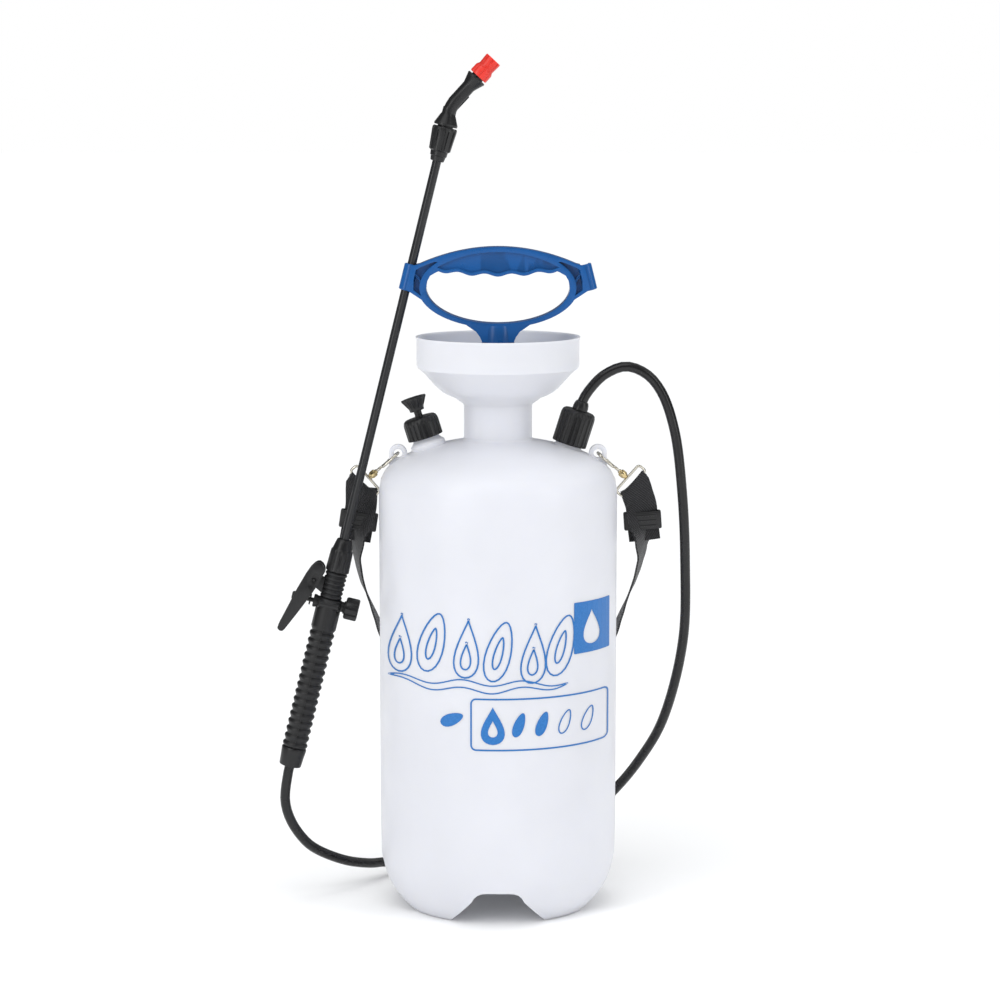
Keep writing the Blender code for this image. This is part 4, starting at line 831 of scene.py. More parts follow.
def printed_area(name, outlines):
    piece = begin(name, bpy.ops.mesh.primitive_plane_add, size=0.001)
    for index, outline in enumerate(outlines):
        points = [(x, 0.0, z) for x, z in outline]
        if index:
            new_chain(points + points[:1])
        else:
            chain(points + points[:1])
    bpy.ops.mesh.select_all(action="SELECT")
    bpy.ops.mesh.remove_doubles(threshold=0.000002)
    bpy.ops.mesh.fill(use_beauty=True)
    leave_edit()
    return piece


def offset_outline(outline, inward):
    """The same outline moved inwards, for a line of even width."""
    count = len(outline)
    area = sum(outline[i][0] * outline[(i + 1) % count][1]
               - outline[(i + 1) % count][0] * outline[i][1] for i in range(count))
    turn = 1.0 if area > 0 else -1.0
    moved = []
    for i, (x, z) in enumerate(outline):
        (px, pz), (nx, nz) = outline[i - 1], outline[(i + 1) % count]
        tangent = Vector((nx - px, nz - pz)).normalized()
        moved.append((x - tangent.y * inward * turn, z + tangent.x * inward * turn))
    return moved


def outlined(name, outline, stroke):
    return printed_area(name, [outline, offset_outline(outline, stroke)])


def drop_outline(x, z, width, height, lean=0.0):
    """A water drop: round below, pointed above, leaning by a share of its height."""
    points = []
    for i in range(30):
        a = math.tau * i / 30
        up = (1 + math.cos(a)) / 2
        across = math.sin(a) * math.sin(a / 2) ** 1.5
        points.append((x + width * 0.62 * across + lean * height * up, z + height * (up - 0.5)))
    return points


def rounded_box(x0, z0, x1, z1, corner, steps=6):
    points = []
    for cx, cz, start in ((x1 - corner, z1 - corner, 0), (x0 + corner, z1 - corner, 90),
                          (x0 + corner, z0 + corner, 180), (x1 - corner, z0 + corner, 270)):
        for i in range(steps + 1):
            a = math.radians(start + 90 * i / steps)
            points.append((cx + corner * math.cos(a), cz + corner * math.sin(a)))
    return points


def wave_outline(x0, x1, z, height, length, thick):
    """A rolling wave band, thin at its two ends."""
    steps = 56
    top, low = [], []
    for i in range(steps + 1):
        share = i / steps
        x = x0 + (x1 - x0) * share
        mid = z + height * math.sin(math.tau * (x - x0) / length)
        half = thick * (0.16 + math.sin(math.pi * share) ** 0.6) / 2
        top.append((x, mid + half))
        low.append((x, mid - half))
    return top + low[::-1]


class SPRAYER_OT_print(bpy.types.Operator):
    """Printed motif on the tank's front: waves, drops, a block and a leaf label"""
    bl_idname = "sprayer.print"
    bl_label = "Print"

    def execute(self, context):
        stroke = context.scene.sprayer_sizes.print_stroke
        blue = []
        for index, x in enumerate((-0.078, -0.0515, -0.0255, 0.0005, 0.0265, 0.0490)):
            middle = 0.2215 + 0.003 * math.sin(index * 1.3)
            if index % 2 == 0:
                shapes = [drop_outline(x, middle, 0.0235, 0.0480, 0.06),
                          drop_outline(x, middle - 0.006, 0.0105, 0.0230, 0.06)]
            else:
                shapes = [leaf_outline(x - 0.006, middle - 0.0225, 0.0490, 0.26, 0.25),
                          leaf_outline(x - 0.0035, middle - 0.013, 0.0270, 0.26, 0.17)]
            for ring, outline in enumerate(shapes):
                blue.append(outlined(f"motif_{index}_{ring}", outline, stroke))
        wave = wave_outline(-0.087, 0.0545, 0.1930, 0.0022, 0.047, 0.0062)
        blue.append(outlined("wave", wave, stroke * 0.8))
        blue.append(printed_area("block", [rounded_box(0.0592, 0.2150, 0.0880, 0.2555, 0.0008),
                                           drop_outline(0.0733, 0.2350, 0.0150, 0.0270)]))
        blue.append(outlined("label", rounded_box(-0.0215, 0.1425, 0.0875, 0.1840, 0.0045),
                             stroke))
        blue.append(printed_area("label_drop", [drop_outline(-0.0040, 0.1625, 0.0215, 0.0300),
                                                drop_outline(-0.0040, 0.1600, 0.0085, 0.0130)]))
        for index, x in enumerate((0.013, 0.031, 0.049, 0.067)):
            leaf = leaf_outline(x, 0.1535, 0.0200, 0.35, 0.25)
            name = f"leaf_{index}"
            blue.append(printed_area(name, [leaf]) if index < 2 else
                        outlined(name, leaf, stroke * 0.8))
        blue.append(printed_area("mark", [leaf_outline(-0.0445, 0.1625, 0.0190, 1.15, 0.30)]))
        wrapped("tank_print", blue, "ink")
        return {"FINISHED"}


def leaf_outline(x, z, size, lean, width):
    points = []
    for i in range(24):
        a = math.tau * i / 24
        along = (1 - math.cos(a)) / 2
        wide = math.sin(a) * width * (1 - 0.35 * along)
        points.append((x + size * (wide * math.cos(lean) + along * math.sin(lean)),
                       z + size * (along * math.cos(lean) - wide * math.sin(lean))))
    return points


# ---------------------------------------------------------------- caps and valves on the tank
def ribbed_cap(name, count, outer, high, bore, floor, hole, dome, low=0.0, groove=0.05):
    """A screw cap with vertical ribs between a plain foot band and a rounded crown."""
    sections = [(low, outer * 0.955, 0.0), (low, outer * 0.985, 0.0),
                (low + 0.0006, outer, 0.0), (low + 0.0012, outer, groove),
                (high - dome * 1.15, outer, groove), (high - dome * 0.75, outer * 0.985, groove * 0.4),
                (high - dome * 0.30, outer * 0.93, 0.0), (high - 0.0002, outer * 0.82, 0.0),
                (high, outer * 0.74, 0.0), (high, hole, 0.0), (floor, hole, 0.0),
                (floor, bore, 0.0), (low, bore, 0.0)]
    return fluted(name, count, sections, per=6, low=(0, 1))


class SPRAYER_OT_outlet(bpy.types.Operator):
    """Ribbed nut that holds the hose on the outlet"""
    bl_idname = "sprayer.outlet"
    bl_label = "Outlet nut"

    def execute(self, context):
        nut = ribbed_cap("outlet_ribbed_nut", 22, 0.0139, 0.0278, 0.0103, 0.0195, 0.0043, 0.0044,
                         groove=0.062)
        leave_edit()
        finish_piece(nut, "black", "outlet_nut", "outlet_nut", place=OUTLET, slot="black_plastic")
        sleeve = turned("hose_sleeve", [(0.00405, 0.0355), (0.0049, 0.0350), (0.0058, 0.0330),
                                        (0.0062, 0.0305), (0.0062, 0.0281), (0.00405, 0.0281)],
                        48, closed=True)
        finish_piece(sleeve, "black", "outlet_nut", place=OUTLET, slot="black_plastic")
        return {"FINISHED"}


class SPRAYER_OT_relief(bpy.types.Operator):
    """Relief valve: ribbed cap and the knob that is pulled"""
    bl_idname = "sprayer.relief"
    bl_label = "Relief valve"

    def execute(self, context):
        cap = ribbed_cap("relief_ribbed_cap", 22, 0.01425, 0.0170, 0.0103, 0.0118, 0.00355, 0.0048,
                         groove=0.062)
        leave_edit()
        finish_piece(cap, "black", "relief_cap", "relief_cap", place=RELIEF, slot="black_plastic")
        sections = [(0.0180, 0.0030, 0.0), (0.0221, 0.0031, 0.0), (0.0221, 0.0055, 0.0),
                    (0.0224, 0.0059, 0.0), (0.0238, 0.0059, 0.0), (0.0252, 0.0064, 0.04),
                    (0.0268, 0.0074, 0.09), (0.0288, 0.0085, 0.10), (0.0306, 0.0095, 0.09),
                    (0.0318, 0.0102, 0.08), (0.0325, 0.0103, 0.07), (0.0330, 0.0100, 0.04),
                    (0.0330, 0.0090, 0.0), (0.0322, 0.0076, 0.0), (0.0316, 0.0050, 0.0),
                    (0.0316, 0.0004, 0.0)]
        knob = fluted("relief_pull_knob", 12, sections, per=6, low=(0, 1, 2), closed=False)
        leave_edit()
        finish_piece(knob, "black", "relief_knob", place=RELIEF, slot="black_plastic",
                     smooth=40.0)
        stem = turned("relief_stem", [(0.0, 0.0182), (0.00325, 0.0182), (0.00325, -0.0025),
                                      (0.0054, -0.0025), (0.0054, -0.0040), (0.0017, -0.0042),
                                      (0.0017, -0.0088), (0.0, -0.0090)], 40)
        finish_piece(stem, "black", "relief_knob", "relief_knob", place=RELIEF,
                     slot="black_plastic")
        return {"FINISHED"}


class SPRAYER_OT_pump_head(bpy.types.Operator):
    """Pump head in the funnel, with its ribs and centre collar"""
    bl_idname = "sprayer.pump_head"
    bl_label = "Pump head"

    def execute(self, context):
        box_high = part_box("pump_head")[1]
        top = box_high.z - 0.011
        sections = [(top - 0.0046, 0.0270, 0.0), (top - 0.0046, 0.0286, 0.0),
                    (top - 0.0040, 0.0292, 0.03), (top - 0.0006, 0.0292, 0.03),
                    (top, 0.0286, 0.0), (top, 0.0172, 0.0), (top + 0.0104, 0.0170, 0.0),
                    (top + 0.0110, 0.0164, 0.0), (top + 0.0110, 0.0142, 0.0),
                    (top + 0.0104, 0.0137, 0.0), (top, 0.0137, 0.0), (top, 0.0074, 0.0),
                    (top - 0.0046, 0.0074, 0.0)]
        head = fluted("pump_head_disc", 24, sections, per=4, low=(0,))
        leave_edit()
        ribs = []
        for index in range(6):
            rib = plate(f"head_rib_{index}", [[(0.0165, top - 0.0004), (0.0275, top - 0.0004),
                                               (0.0270, top + 0.0030), (0.0240, top + 0.0062),
                                               (0.0210, top + 0.0070), (0.0165, top + 0.0072)]],
                        0.0013)
            leave_edit()
            rounded(rib, 0.0004)
            rib.rotation_euler = (0.0, 0.0, index * math.pi / 3)
            only(rib)
            bpy.ops.object.transform_apply(location=True, rotation=True, scale=True)
            ribs.append(rib)
        joined("pump_head_disc", head, *ribs)
        skirt = turned("pump_head_skirt", [(0.0232, top - 0.0040), (0.0232, top - 0.0285),
                                           (0.0204, top - 0.0285), (0.0204, top - 0.0040)],
                       64, closed=True)
        leave_edit()
        joined("pump_head_disc", head, skirt)
        finish_piece(head, "black", "pump", "pump_head", place=ROOT, slot="black_plastic")
        return {"FINISHED"}


# ---------------------------------------------------------------- lance
class SPRAYER_OT_tube(bpy.types.Operator):
    """The lance's tube"""
    bl_idname = "sprayer.tube"
    bl_label = "Lance tube"

    def execute(self, context):
        outline = [(0.0022, 0.106), (0.0054, 0.106), (0.0058, 0.1056), (0.0058, 0.1046),
                   (0.0035, 0.1040), (0.0035, 0.060), (0.0035, 0.0), (0.0035, -0.110),
                   (0.0035, -0.2260), (0.0058, -0.2266), (0.0058, -0.2276), (0.0054, -0.2280),
                   (0.0022, -0.2280)]
        tube = turned("lance_pipe", outline, 48, closed=True)
        finish_piece(tube, "tube", "lance", "lance_tube", place=LANCE, slot="lance_tube")
        return {"FINISHED"}


class SPRAYER_OT_upper_nut(bpy.types.Operator):
    """Fluted nut at the top of the lance"""
    bl_idname = "sprayer.upper_nut"
    bl_label = "Upper nut"

    def execute(self, context):
        low, high = 0.0937, 0.1210
        sections = [(low, 0.0049, 0.0), (low + 0.0005, 0.0054, 0.0), (low + 0.0040, 0.0060, 0.0),
                    (low + 0.0044, 0.0066, 0.0), (low + 0.0078, 0.0069, 0.0),
                    (low + 0.0084, 0.0078, 0.0), (low + 0.0090, 0.0086, 0.10),
                    (low + 0.0180, 0.0093, 0.13), (high - 0.0032, 0.00985, 0.13),
                    (high - 0.0014, 0.00985, 0.06), (high - 0.0006, 0.0096, 0.0),
                    (high, 0.0090, 0.0), (high, 0.0066, 0.0), (0.1043, 0.0065, 0.0),
                    (0.1043, 0.0038, 0.0), (low, 0.0038, 0.0)]
        nut = fluted("lance_fluted_nut", 9, sections, per=12, low=(0, 1, 2, 3, 4))
        leave_edit()
        finish_piece(nut, "black", "upper_nut", "lance_upper_nut", place=LANCE,
                     slot="black_plastic")
        return {"FINISHED"}


class SPRAYER_OT_nozzle(bpy.types.Operator):
    """Elbow with its flanges, and the adjusting cap"""
    bl_idname = "sprayer.nozzle"
    bl_label = "Nozzle"

    def execute(self, context):
        base = turned("nozzle_neck", [(0.0, 0.1370), (0.0052, 0.1368), (0.00535, 0.1318),
                                      (0.0064, 0.1300), (0.0088, 0.1246), (0.0093, 0.1238),
                                      (0.0093, 0.1224), (0.0090, 0.1220), (0.0062, 0.1219),
                                      (0.0061, 0.1085), (0.0, 0.1085)], 48)
        leave_edit()
        settle(base, Matrix.Identity(4))
        bend = []
        for step in range(9):
            angle = math.radians(29.0 * step / 8)
            bend.append(Vector((0.030 * (1 - math.cos(angle)), 0.0, 0.1298 + 0.030 * math.sin(angle))))
        elbow = swept("nozzle_bend", bend, 0.00535, sides=9)
        local = LANCE.inverted() @ NOZZLE
        arm = turned("nozzle_arm", [(0.0, 0.0440), (0.0051, 0.0440), (0.0051, 0.0358),
                                    (0.0042, 0.0354), (0.0042, 0.0336), (0.0052, 0.0332),
                                    (0.0052, 0.0309), (0.0078, 0.0308), (0.0082, 0.0302),
                                    (0.0082, 0.0294), (0.0078, 0.0288), (0.0059, 0.0232),
                                    (0.0054, 0.0215), (0.0053, 0.0040), (0.0, 0.0040)], 48)
        leave_edit()
        settle(arm, local)
        seam = plate("nozzle_seam", [[(0.0050, 0.1300), (0.00575, 0.1300), (0.00575, 0.1355),
                                      (0.0128, 0.1480), (0.0122, 0.1486), (0.0050, 0.1360)]],
                     0.0003)
        leave_edit()
        for other in (elbow, arm):
            combine(base, other, "UNION")
        joined("nozzle_elbow_moulding", base, seam)
        finish_piece(base, "black", "elbow", "nozzle_elbow", place=LANCE, slot="black_plastic",
                     smooth=30.0)
        sections = [(0.0320, 0.0072, 0.0), (0.0322, 0.0077, 0.03), (0.0330, 0.0079, 0.06),
                    (0.0385, 0.0078, 0.06), (0.0395, 0.0075, 0.04), (0.0403, 0.0069, 0.0),
                    (0.0412, 0.0065, 0.0), (0.0425, 0.0066, 0.05), (0.0470, 0.0069, 0.10),
                    (0.0492, 0.0070, 0.12), (0.0500, 0.0067, 0.08), (0.0500, 0.0052, 0.0),
                    (0.0494, 0.0046, 0.0), (0.0494, 0.0010, 0.0), (0.0470, 0.0010, 0.0),
                    (0.0470, 0.0055, 0.0), (0.0320, 0.0055, 0.0)]
        cap = fluted("nozzle_facet_cap", 8, sections, per=8, low=(0, 1))
        leave_edit()
        finish_piece(cap, "cap", "nozzle_cap", "nozzle_cap", place=NOZZLE, slot="red_plastic",
                     smooth=28.0)
        return {"FINISHED"}


class SPRAYER_OT_lower_nut(bpy.types.Operator):
    """Stepped nut between tube and grip"""
    bl_idname = "sprayer.lower_nut"
    bl_label = "Lower nut"

    def execute(self, context):
        low, high = -0.2420, -0.2153
        sections = [(low, 0.0086, 0.0), (low + 0.0002, 0.0090, 0.0), (low + 0.0008, 0.0095, 0.05),
                    (low + 0.0060, 0.0093, 0.06), (low + 0.0130, 0.0091, 0.06),
                    (low + 0.0166, 0.0089, 0.05), (low + 0.0176, 0.0086, 0.0),
                    (low + 0.0184, 0.0080, 0.0), (low + 0.0189, 0.0078, 0.0),
                    (low + 0.0230, 0.0069, 0.0), (low + 0.0262, 0.0060, 0.0),
                    (high, 0.0055, 0.0), (high, 0.0038, 0.0), (-0.2263, 0.0038, 0.0),
                    (-0.2263, 0.0068, 0.0), (low, 0.0068, 0.0)]
        nut = fluted("lance_stepped_nut", 12, sections, per=8, low=(0, 1))
        leave_edit()
        finish_piece(nut, "black", "lower_nut", "lance_lower_nut", place=LANCE,
                     slot="black_plastic")
        return {"FINISHED"}


class SPRAYER_OT_grip(bpy.types.Operator):
    """Grip body with thread, valve arms, trigger ear and ribbed handle"""
    bl_idname = "sprayer.grip"
    bl_label = "Grip"

    def execute(self, context):
        sizes = context.scene.sprayer_sizes
        top, body_top, ribs_top, ribs_low = -0.2312, -0.2645, -0.2905, -0.3889
        outline = [(0.0, top), (0.0062, top), (0.0065, top - 0.0004), (0.0065, -0.2423)]
        turns = 6
        pitch = (-0.2423 - body_top) / turns
        for index in range(turns):
            high = -0.2423 - index * pitch
            outline += [(0.0078, high - pitch * 0.05), (0.0088, high - pitch * 0.38),
                        (0.0088, high - pitch * 0.60), (0.0078, high - pitch * 0.95)]
        outline += [(0.0078, body_top), (0.0092, body_top), (0.00985, body_top - 0.0008),
                    (0.00985, ribs_top + 0.0030), (0.0096, ribs_top + 0.0006)]
        pitch = (ribs_top - ribs_low) / sizes.grip_ribs
        for index in range(sizes.grip_ribs):
            high = ribs_top - index * pitch
            outline += [(0.0087, high - pitch * 0.10), (0.0087, high - pitch * 0.24),
                        (0.0098, high - pitch * 0.42), (0.0101, high - pitch * 0.54),
                        (0.0101, high - pitch * 0.66), (0.0098, high - pitch * 0.78)]
        outline += [(0.0087, ribs_low), (0.0065, ribs_low), (0.0065, ribs_low - 0.0091),
                    (0.0062, ribs_low - 0.0095), (0.0, ribs_low - 0.0095)]
        grip = turned("grip_moulding", outline, 56)
        leave_edit()
        local = LANCE.inverted() @ CROSS
        arm = turned("valve_arm", [(0.0, 0.0190), (0.00525, 0.0190), (0.00525, 0.0122),
                                   (0.0042, 0.0116), (0.0042, 0.0098), (0.0050, 0.0086),
                                   (0.0052, 0.0), (0.0, 0.0)], 48)
        leave_edit()
        settle(arm, local)
        guide = turned("stem_guide", [(0.0, -0.0130), (0.0048, -0.0130), (0.0053, -0.0125),
                                      (0.0052, -0.0112), (0.0046, -0.0096), (0.0052, 0.0),
                                      (0.0, 0.0)], 48)
        leave_edit()
        settle(guide, local)
        band = turned("valve_crossing", [(0.0, 0.0086), (0.0040, 0.0086), (0.0046, 0.0080),
                                         (0.0046, -0.0080), (0.0040, -0.0086),
                                         (0.0, -0.0086)], 48)
        leave_edit()
        only(band)
        bpy.ops.transform.resize(value=(1.0, 2.28, 1.0))
        settle(band, local)
        x, z = -0.0162, -0.2523
        ear = plate("ear", [[(x - 0.0034, z - 0.0020), (x - 0.0030, z - 0.0030),
                             (x - 0.0020, z - 0.0036), (-0.00785, z - 0.0090),
                             (-0.00785, z + 0.0036), (x - 0.0020, z + 0.0036),
                             (x - 0.0030, z + 0.0030), (x - 0.0034, z + 0.0020)]], 0.0031)
        leave_edit()
        rounded(ear, 0.0005)
        for other in (arm, guide, band, ear):
            combine(grip, other, "UNION")
        seam = []
        for side in (-1, 1):
            low, high = sorted((side * 0.00975, side * 0.01005))
            seam.append(plate(f"grip_seam_{side}", [[(low, ribs_top + 0.0012),
                                                     (high, ribs_top + 0.0012),
                                                     (high, body_top - 0.0020),
                                                     (low, body_top - 0.0020)]], 0.00035))
            leave_edit()
            for low, high, near, deep in ((ribs_low, ribs_top, 0.0095, 0.0008),
                                          (ribs_top, body_top - 0.0085, 0.0098, 0.0002)):
                seam.append(plate(f"parting_line_{side}_{deep}", [[
                    (-0.00028, low), (0.00028, low), (0.00028, high), (-0.00028, high)]],
                    deep, side * near))
                leave_edit()
        joined("grip_moulding", grip, *seam)
        finish_piece(grip, "grip", "lance", "grip_body", place=LANCE, slot="black_plastic",
                     smooth=33.0)
        collar = turned("grip_end_collar", [(0.0069, -0.3892), (0.0094, -0.3892),
                                            (0.0099, -0.3898), (0.0100, -0.3906),
                                            (0.0094, -0.3965), (0.0089, -0.4034),
                                            (0.0086, -0.4043), (0.0078, -0.4046),
                                            (0.0043, -0.4046), (0.0043, -0.3987),
                                            (0.0069, -0.3987)], 56, closed=True)
        finish_piece(collar, "black", "end_nut", "grip_end_nut", place=LANCE,
                     slot="black_plastic")
        return {"FINISHED"}


def lever_point(along, across):
    """A point of the trigger's side view, from its pivot down the lever."""
    angle = math.radians(19.2)
    return (-math.sin(angle) * along + math.cos(angle) * across,
            -math.cos(angle) * along - math.sin(angle) * across)


class SPRAYER_OT_trigger(bpy.types.Operator):
    """Trigger lever on its pin, the valve stem and the valve's knob"""
    bl_idname = "sprayer.trigger"
    bl_label = "Trigger and valve"

    def execute(self, context):
        edge = [(-0.0147, -0.0035), (-0.0143, -0.0005), (-0.0130, 0.0018), (-0.0105, 0.0038),
                (0.0020, 0.0046), (0.0120, 0.0044), (0.0280, 0.0033), (0.0465, 0.0016),
                (0.0484, 0.0008), (0.0492, -0.0008), (0.0490, -0.0028), (0.0480, -0.0040),
                (0.0455, -0.0046), (0.0300, -0.0060), (0.0150, -0.0074), (0.0000, -0.0080),
                (-0.0070, -0.0077), (-0.0115, -0.0066), (-0.0138, -0.0052)]
        outline = [lever_point(a, b) for a, b in edge]
        lever = plate("trigger_lever", [outline], 0.0062)
        leave_edit()
        slot = plate("lever_gap", [[lever_point(a, b) for a, b in
                                    ((-0.020, -0.012), (-0.020, 0.012), (0.026, 0.012),
                                     (0.026, -0.012))]], 0.0036)
        leave_edit()
        combine(lever, slot)
        ends = ((0.0040, 0.0), (-0.0030, math.pi))
        window = [lever_point(place + 0.0027 * math.cos(turn - math.pi / 2 + math.pi * i / 8),
                              0.0027 * math.sin(turn - math.pi / 2 + math.pi * i / 8))
                  for place, turn in ends for i in range(9)]
        for face in (-1, 1):
            cutter = plate("lever_recess", [window], 0.0020, face * 0.0074)
            leave_edit()
            combine(lever, cutter)
        hole = [(0.0016 * math.cos(a), 0.0016 * math.sin(a))
                for a in (math.tau * i / 24 for i in range(24))]
        cutter = plate("lever_hole", [hole], 0.02)
        leave_edit()
        combine(lever, cutter)
        rounded(lever, 0.0005, 2, 40.0)
        finish_piece(lever, "black", "trigger", "trigger", place=PIVOT, slot="black_plastic")
        pin = turned("lever_pin", [(0.0, 0.0070), (0.0010, 0.0070), (0.0013, 0.0067),
                                   (0.0013, -0.0067), (0.0010, -0.0070), (0.0, -0.0070)], 32)
        finish_piece(pin, "black", "lance", "trigger_pin", slot="black_plastic",
                     place=PIVOT @ Matrix.Rotation(math.pi / 2, 4, "X"))
        stem = turned("valve_rod", [(0.0, 0.0116), (0.0030, 0.0116), (0.0032, 0.0113),
                                    (0.0032, 0.0100), (0.0018, 0.0100), (0.0018, -0.0150),
                                    (0.0042, -0.0150), (0.0044, -0.0152), (0.0044, -0.0160),
                                    (0.0042, -0.0162), (0.0018, -0.0162), (0.0018, -0.0283),
                                    (0.0034, -0.0283), (0.0036, -0.0286), (0.0034, -0.0300),
                                    (0.0026, -0.0306), (0.0, -0.0306)], 40)
        finish_piece(stem, "black", "valve_stem", "valve_stem", place=CROSS,
                     slot="black_plastic")
        sections = [(0.0129, 0.0074, 0.0), (0.0131, 0.0081, 0.0), (0.0137, 0.0086, 0.0),
                    (0.0143, 0.0089, 0.10), (0.0226, 0.0089, 0.11), (0.0233, 0.0086, 0.05),
                    (0.0238, 0.0079, 0.0), (0.0239, 0.0070, 0.0), (0.0239, 0.0060, 0.0),
                    (0.0233, 0.0055, 0.0), (0.0233, 0.0006, 0.0), (0.0195, 0.0006, 0.0),
                    (0.0195, 0.0056, 0.0), (0.0129, 0.0056, 0.0)]
        knob = fluted("valve_lobed_cap", 10, sections, per=8, low=(0, 1, 2))
        leave_edit()
        finish_piece(knob, "black", "valve_cap", "valve_cap", place=CROSS, slot="black_plastic",
                     smooth=30.0)
        return {"FINISHED"}


# ---------------------------------------------------------------- handle
HANDLE_MIDDLE, HANDLE_TOP = 0.496, 0.528


def top_edge(x):
    return HANDLE_TOP - 0.0135 * (x / 0.062) ** 2


def finger_edge(x):
    """Underside of the grip: four finger waves on a shallow arch."""
    return (HANDLE_MIDDLE + 0.0088 + 0.0032 * (x / 0.046) ** 2
            + 0.0011 * (1 - math.cos(math.tau * x / 0.021)))


def arc_points(half_width, half_height, start, end, count):
    return [(half_width * math.cos(a), HANDLE_MIDDLE + half_height * math.sin(a))
            for a in (start + (end - start) * i / count for i in range(count + 1))]


def spaced(low, high, count):
    return [low + (high - low) * i / count for i in range(count + 1)]


def handle_outline():
    top = [(x, top_edge(x)) for x in spaced(-0.062, 0.062, 36)]
    lean = math.radians(13.9)
    ends = [(0.0704 - h * math.sin(lean), 0.504 + h * math.cos(lean)) for h in (0.0095, -0.0095)]
    bottom = arc_points(0.063, 0.0318, -0.30, -1.16, 16)
    neck = [(0.0190, 0.4625), (0.0175, 0.4617), (0.0142, 0.4572), (0.0125, 0.4532)]
    right = ends + bottom + neck
    return top + right + [(-x, z) for x, z in reversed(right)]


def opening_outline(grow=0.0):
    lower = arc_points(0.0566 + grow, 0.0284 + grow, math.pi, math.tau, 44)
    corner = [(0.0558 + grow, 0.5010), (0.0533 + grow, 0.5055), (0.0480 + grow, 0.5085)]
    waves = [(x, finger_edge(x) + grow) for x in spaced(0.0465, -0.0465, 72)]
    return lower + corner + waves + [(-x, z) for x, z in reversed(corner)]


def grip_pocket():
    low = [(x, finger_edge(x) + 0.0027) for x in spaced(-0.0465, 0.0465, 46)]
    high = [(x, 0.5241 - 0.0126 * (abs(x) / 0.049) ** 2.2) for x in spaced(0.0480, -0.0480, 28)]
    return low + high


def gusset_pocket(side):
    rim = arc_points(0.0618, 0.0315, -0.20, 0.70, 12)
    top = [(x, top_edge(x) - 0.0028) for x in (0.0500, 0.0540, 0.0580, 0.0612)]
    points = rim + top + [(0.0645, 0.5100), (0.0664, 0.5020), (0.0666, 0.4940)]
    return [(side * x, z) for x, z in points]


class SPRAYER_OT_handle(bpy.types.Operator):
    """Pump handle with its oval ring, finger waves and two tube clips"""
    bl_idname = "sprayer.handle"
    bl_label = "Handle"

    def execute(self, context):
        handle = plate("handle_moulding", [handle_outline(), opening_outline()], 0.0100)
        leave_edit()
        for face in (-1, 1):
            pockets = [(grip_pocket(), 0.0075)]
            pockets += [(gusset_pocket(side), 0.0042) for side in (-1, 1)]
            for index, (outline, deep) in enumerate(pockets):
                cutter = plate(f"pocket_{face}_{index}", [outline], 0.02, face * (0.02 + deep))
                leave_edit()
                combine(handle, cutter)
        boss_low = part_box("handle")[0].z
        boss = turned("handle_boss", [(0.0074, 0.4665), (0.0118, 0.4660), (0.0124, 0.4640),
                                      (0.0128, 0.4580), (0.0130, 0.4500), (0.0130, boss_low + 0.0006),
                                      (0.0126, boss_low), (0.0074, boss_low)], 64, closed=True)
        leave_edit()
        combine(handle, rod("rod_hole", 0.0074, boss_low - 0.01, 0.4460, Matrix.Identity(4)))
        ribs = []
        for face in (-1, 1):
            for side in (-1, 1):
                for index in range(3):
                    x, z = 0.0592 + 0.0026 * index, 0.4985 + 0.0036 * index
                    rib = plate(f"gusset_rib_{face}_{side}_{index}",
                                [[(side * (x - 0.0030), z - 0.0022), (side * (x - 0.0022), z - 0.0030),
                                  (side * (x + 0.0034), z + 0.0026), (side * (x + 0.0026), z + 0.0034)]],
                                0.0016, face * 0.0054)
                    leave_edit()
                    rounded(rib, 0.0003)
                    ribs.append(rib)
        clips = []
        for name, place, side in (("left", LANCE, -1), ("right", SPARE_CLIP, 1)):
            clip = turned(f"clip_{name}", [(0.0, 0.0105), (0.0050, 0.0105), (0.0056, 0.0099),
                                           (0.0056, -0.0099), (0.0050, -0.0105),
                                           (0.0, -0.0105)], 56)
            leave_edit()
            for turn in ((-0.55, 0.55) if side > 0 else (0.35,)):
                bead = swept(f"bead_{name}_{turn}", [Vector((0.0055 * math.sin(turn),
                             -0.0055 * math.cos(turn), h)) for h in (-0.0100, 0.0, 0.0100)],
                             0.00065, sides=2)
                clip = joined(clip.name, clip, bead)
            settle(clip, ROOT.inverted() @ place)
            clips.append((clip, place))
        for clip, place in clips:
            combine(handle, clip, "UNION")
        for index, (_, place) in enumerate(clips):
            local = ROOT.inverted() @ place
            combine(handle, rod(f"clip_way_{index}", 0.0038, -0.03, 0.03, local))
            mouth = begin(f"clip_mouth_{index}", bpy.ops.mesh.primitive_cube_add, size=1.0)
            bpy.ops.transform.resize(value=(0.0064, 0.030, 0.060))
            bpy.ops.transform.translate(value=(0.0, 0.015, 0.0))
            leave_edit()
            combine(handle, settle(mouth, local))
        rounded(handle, 0.0011, 3, 50.0)
        joined("handle_moulding", handle, boss, *ribs)
        finish_piece(handle, "handle", "plunger", "handle", place=ROOT, slot="blue_plastic",
                     smooth=34.0)
        return {"FINISHED"}


# ---------------------------------------------------------------- strap and its fittings
def hook_place(side):
    """Local +X runs from the lug's hole down to the ring, local +Y to the back."""
    run = Vector((side * math.cos(math.radians(41.4)), 0.0045 / 0.0313,
                  -math.sin(math.radians(41.4)))).normalized()
    back = (Vector((0.0, 1.0, 0.0)) - run * run.y).normalized()
    turn = Matrix((run, back, run.cross(back))).transposed().to_4x4()
    return ROOT @ Matrix.Translation((side * 0.0795, 0.0, 0.364)) @ turn


def strap_spot(side, index):
    row = Vector(STRAP_DROP[index][:3])
    shift = 0.006 * max(0.0, 1.0 - index / 6)
    return row if side > 0 else Vector((-row.x + shift, row.y, row.z))


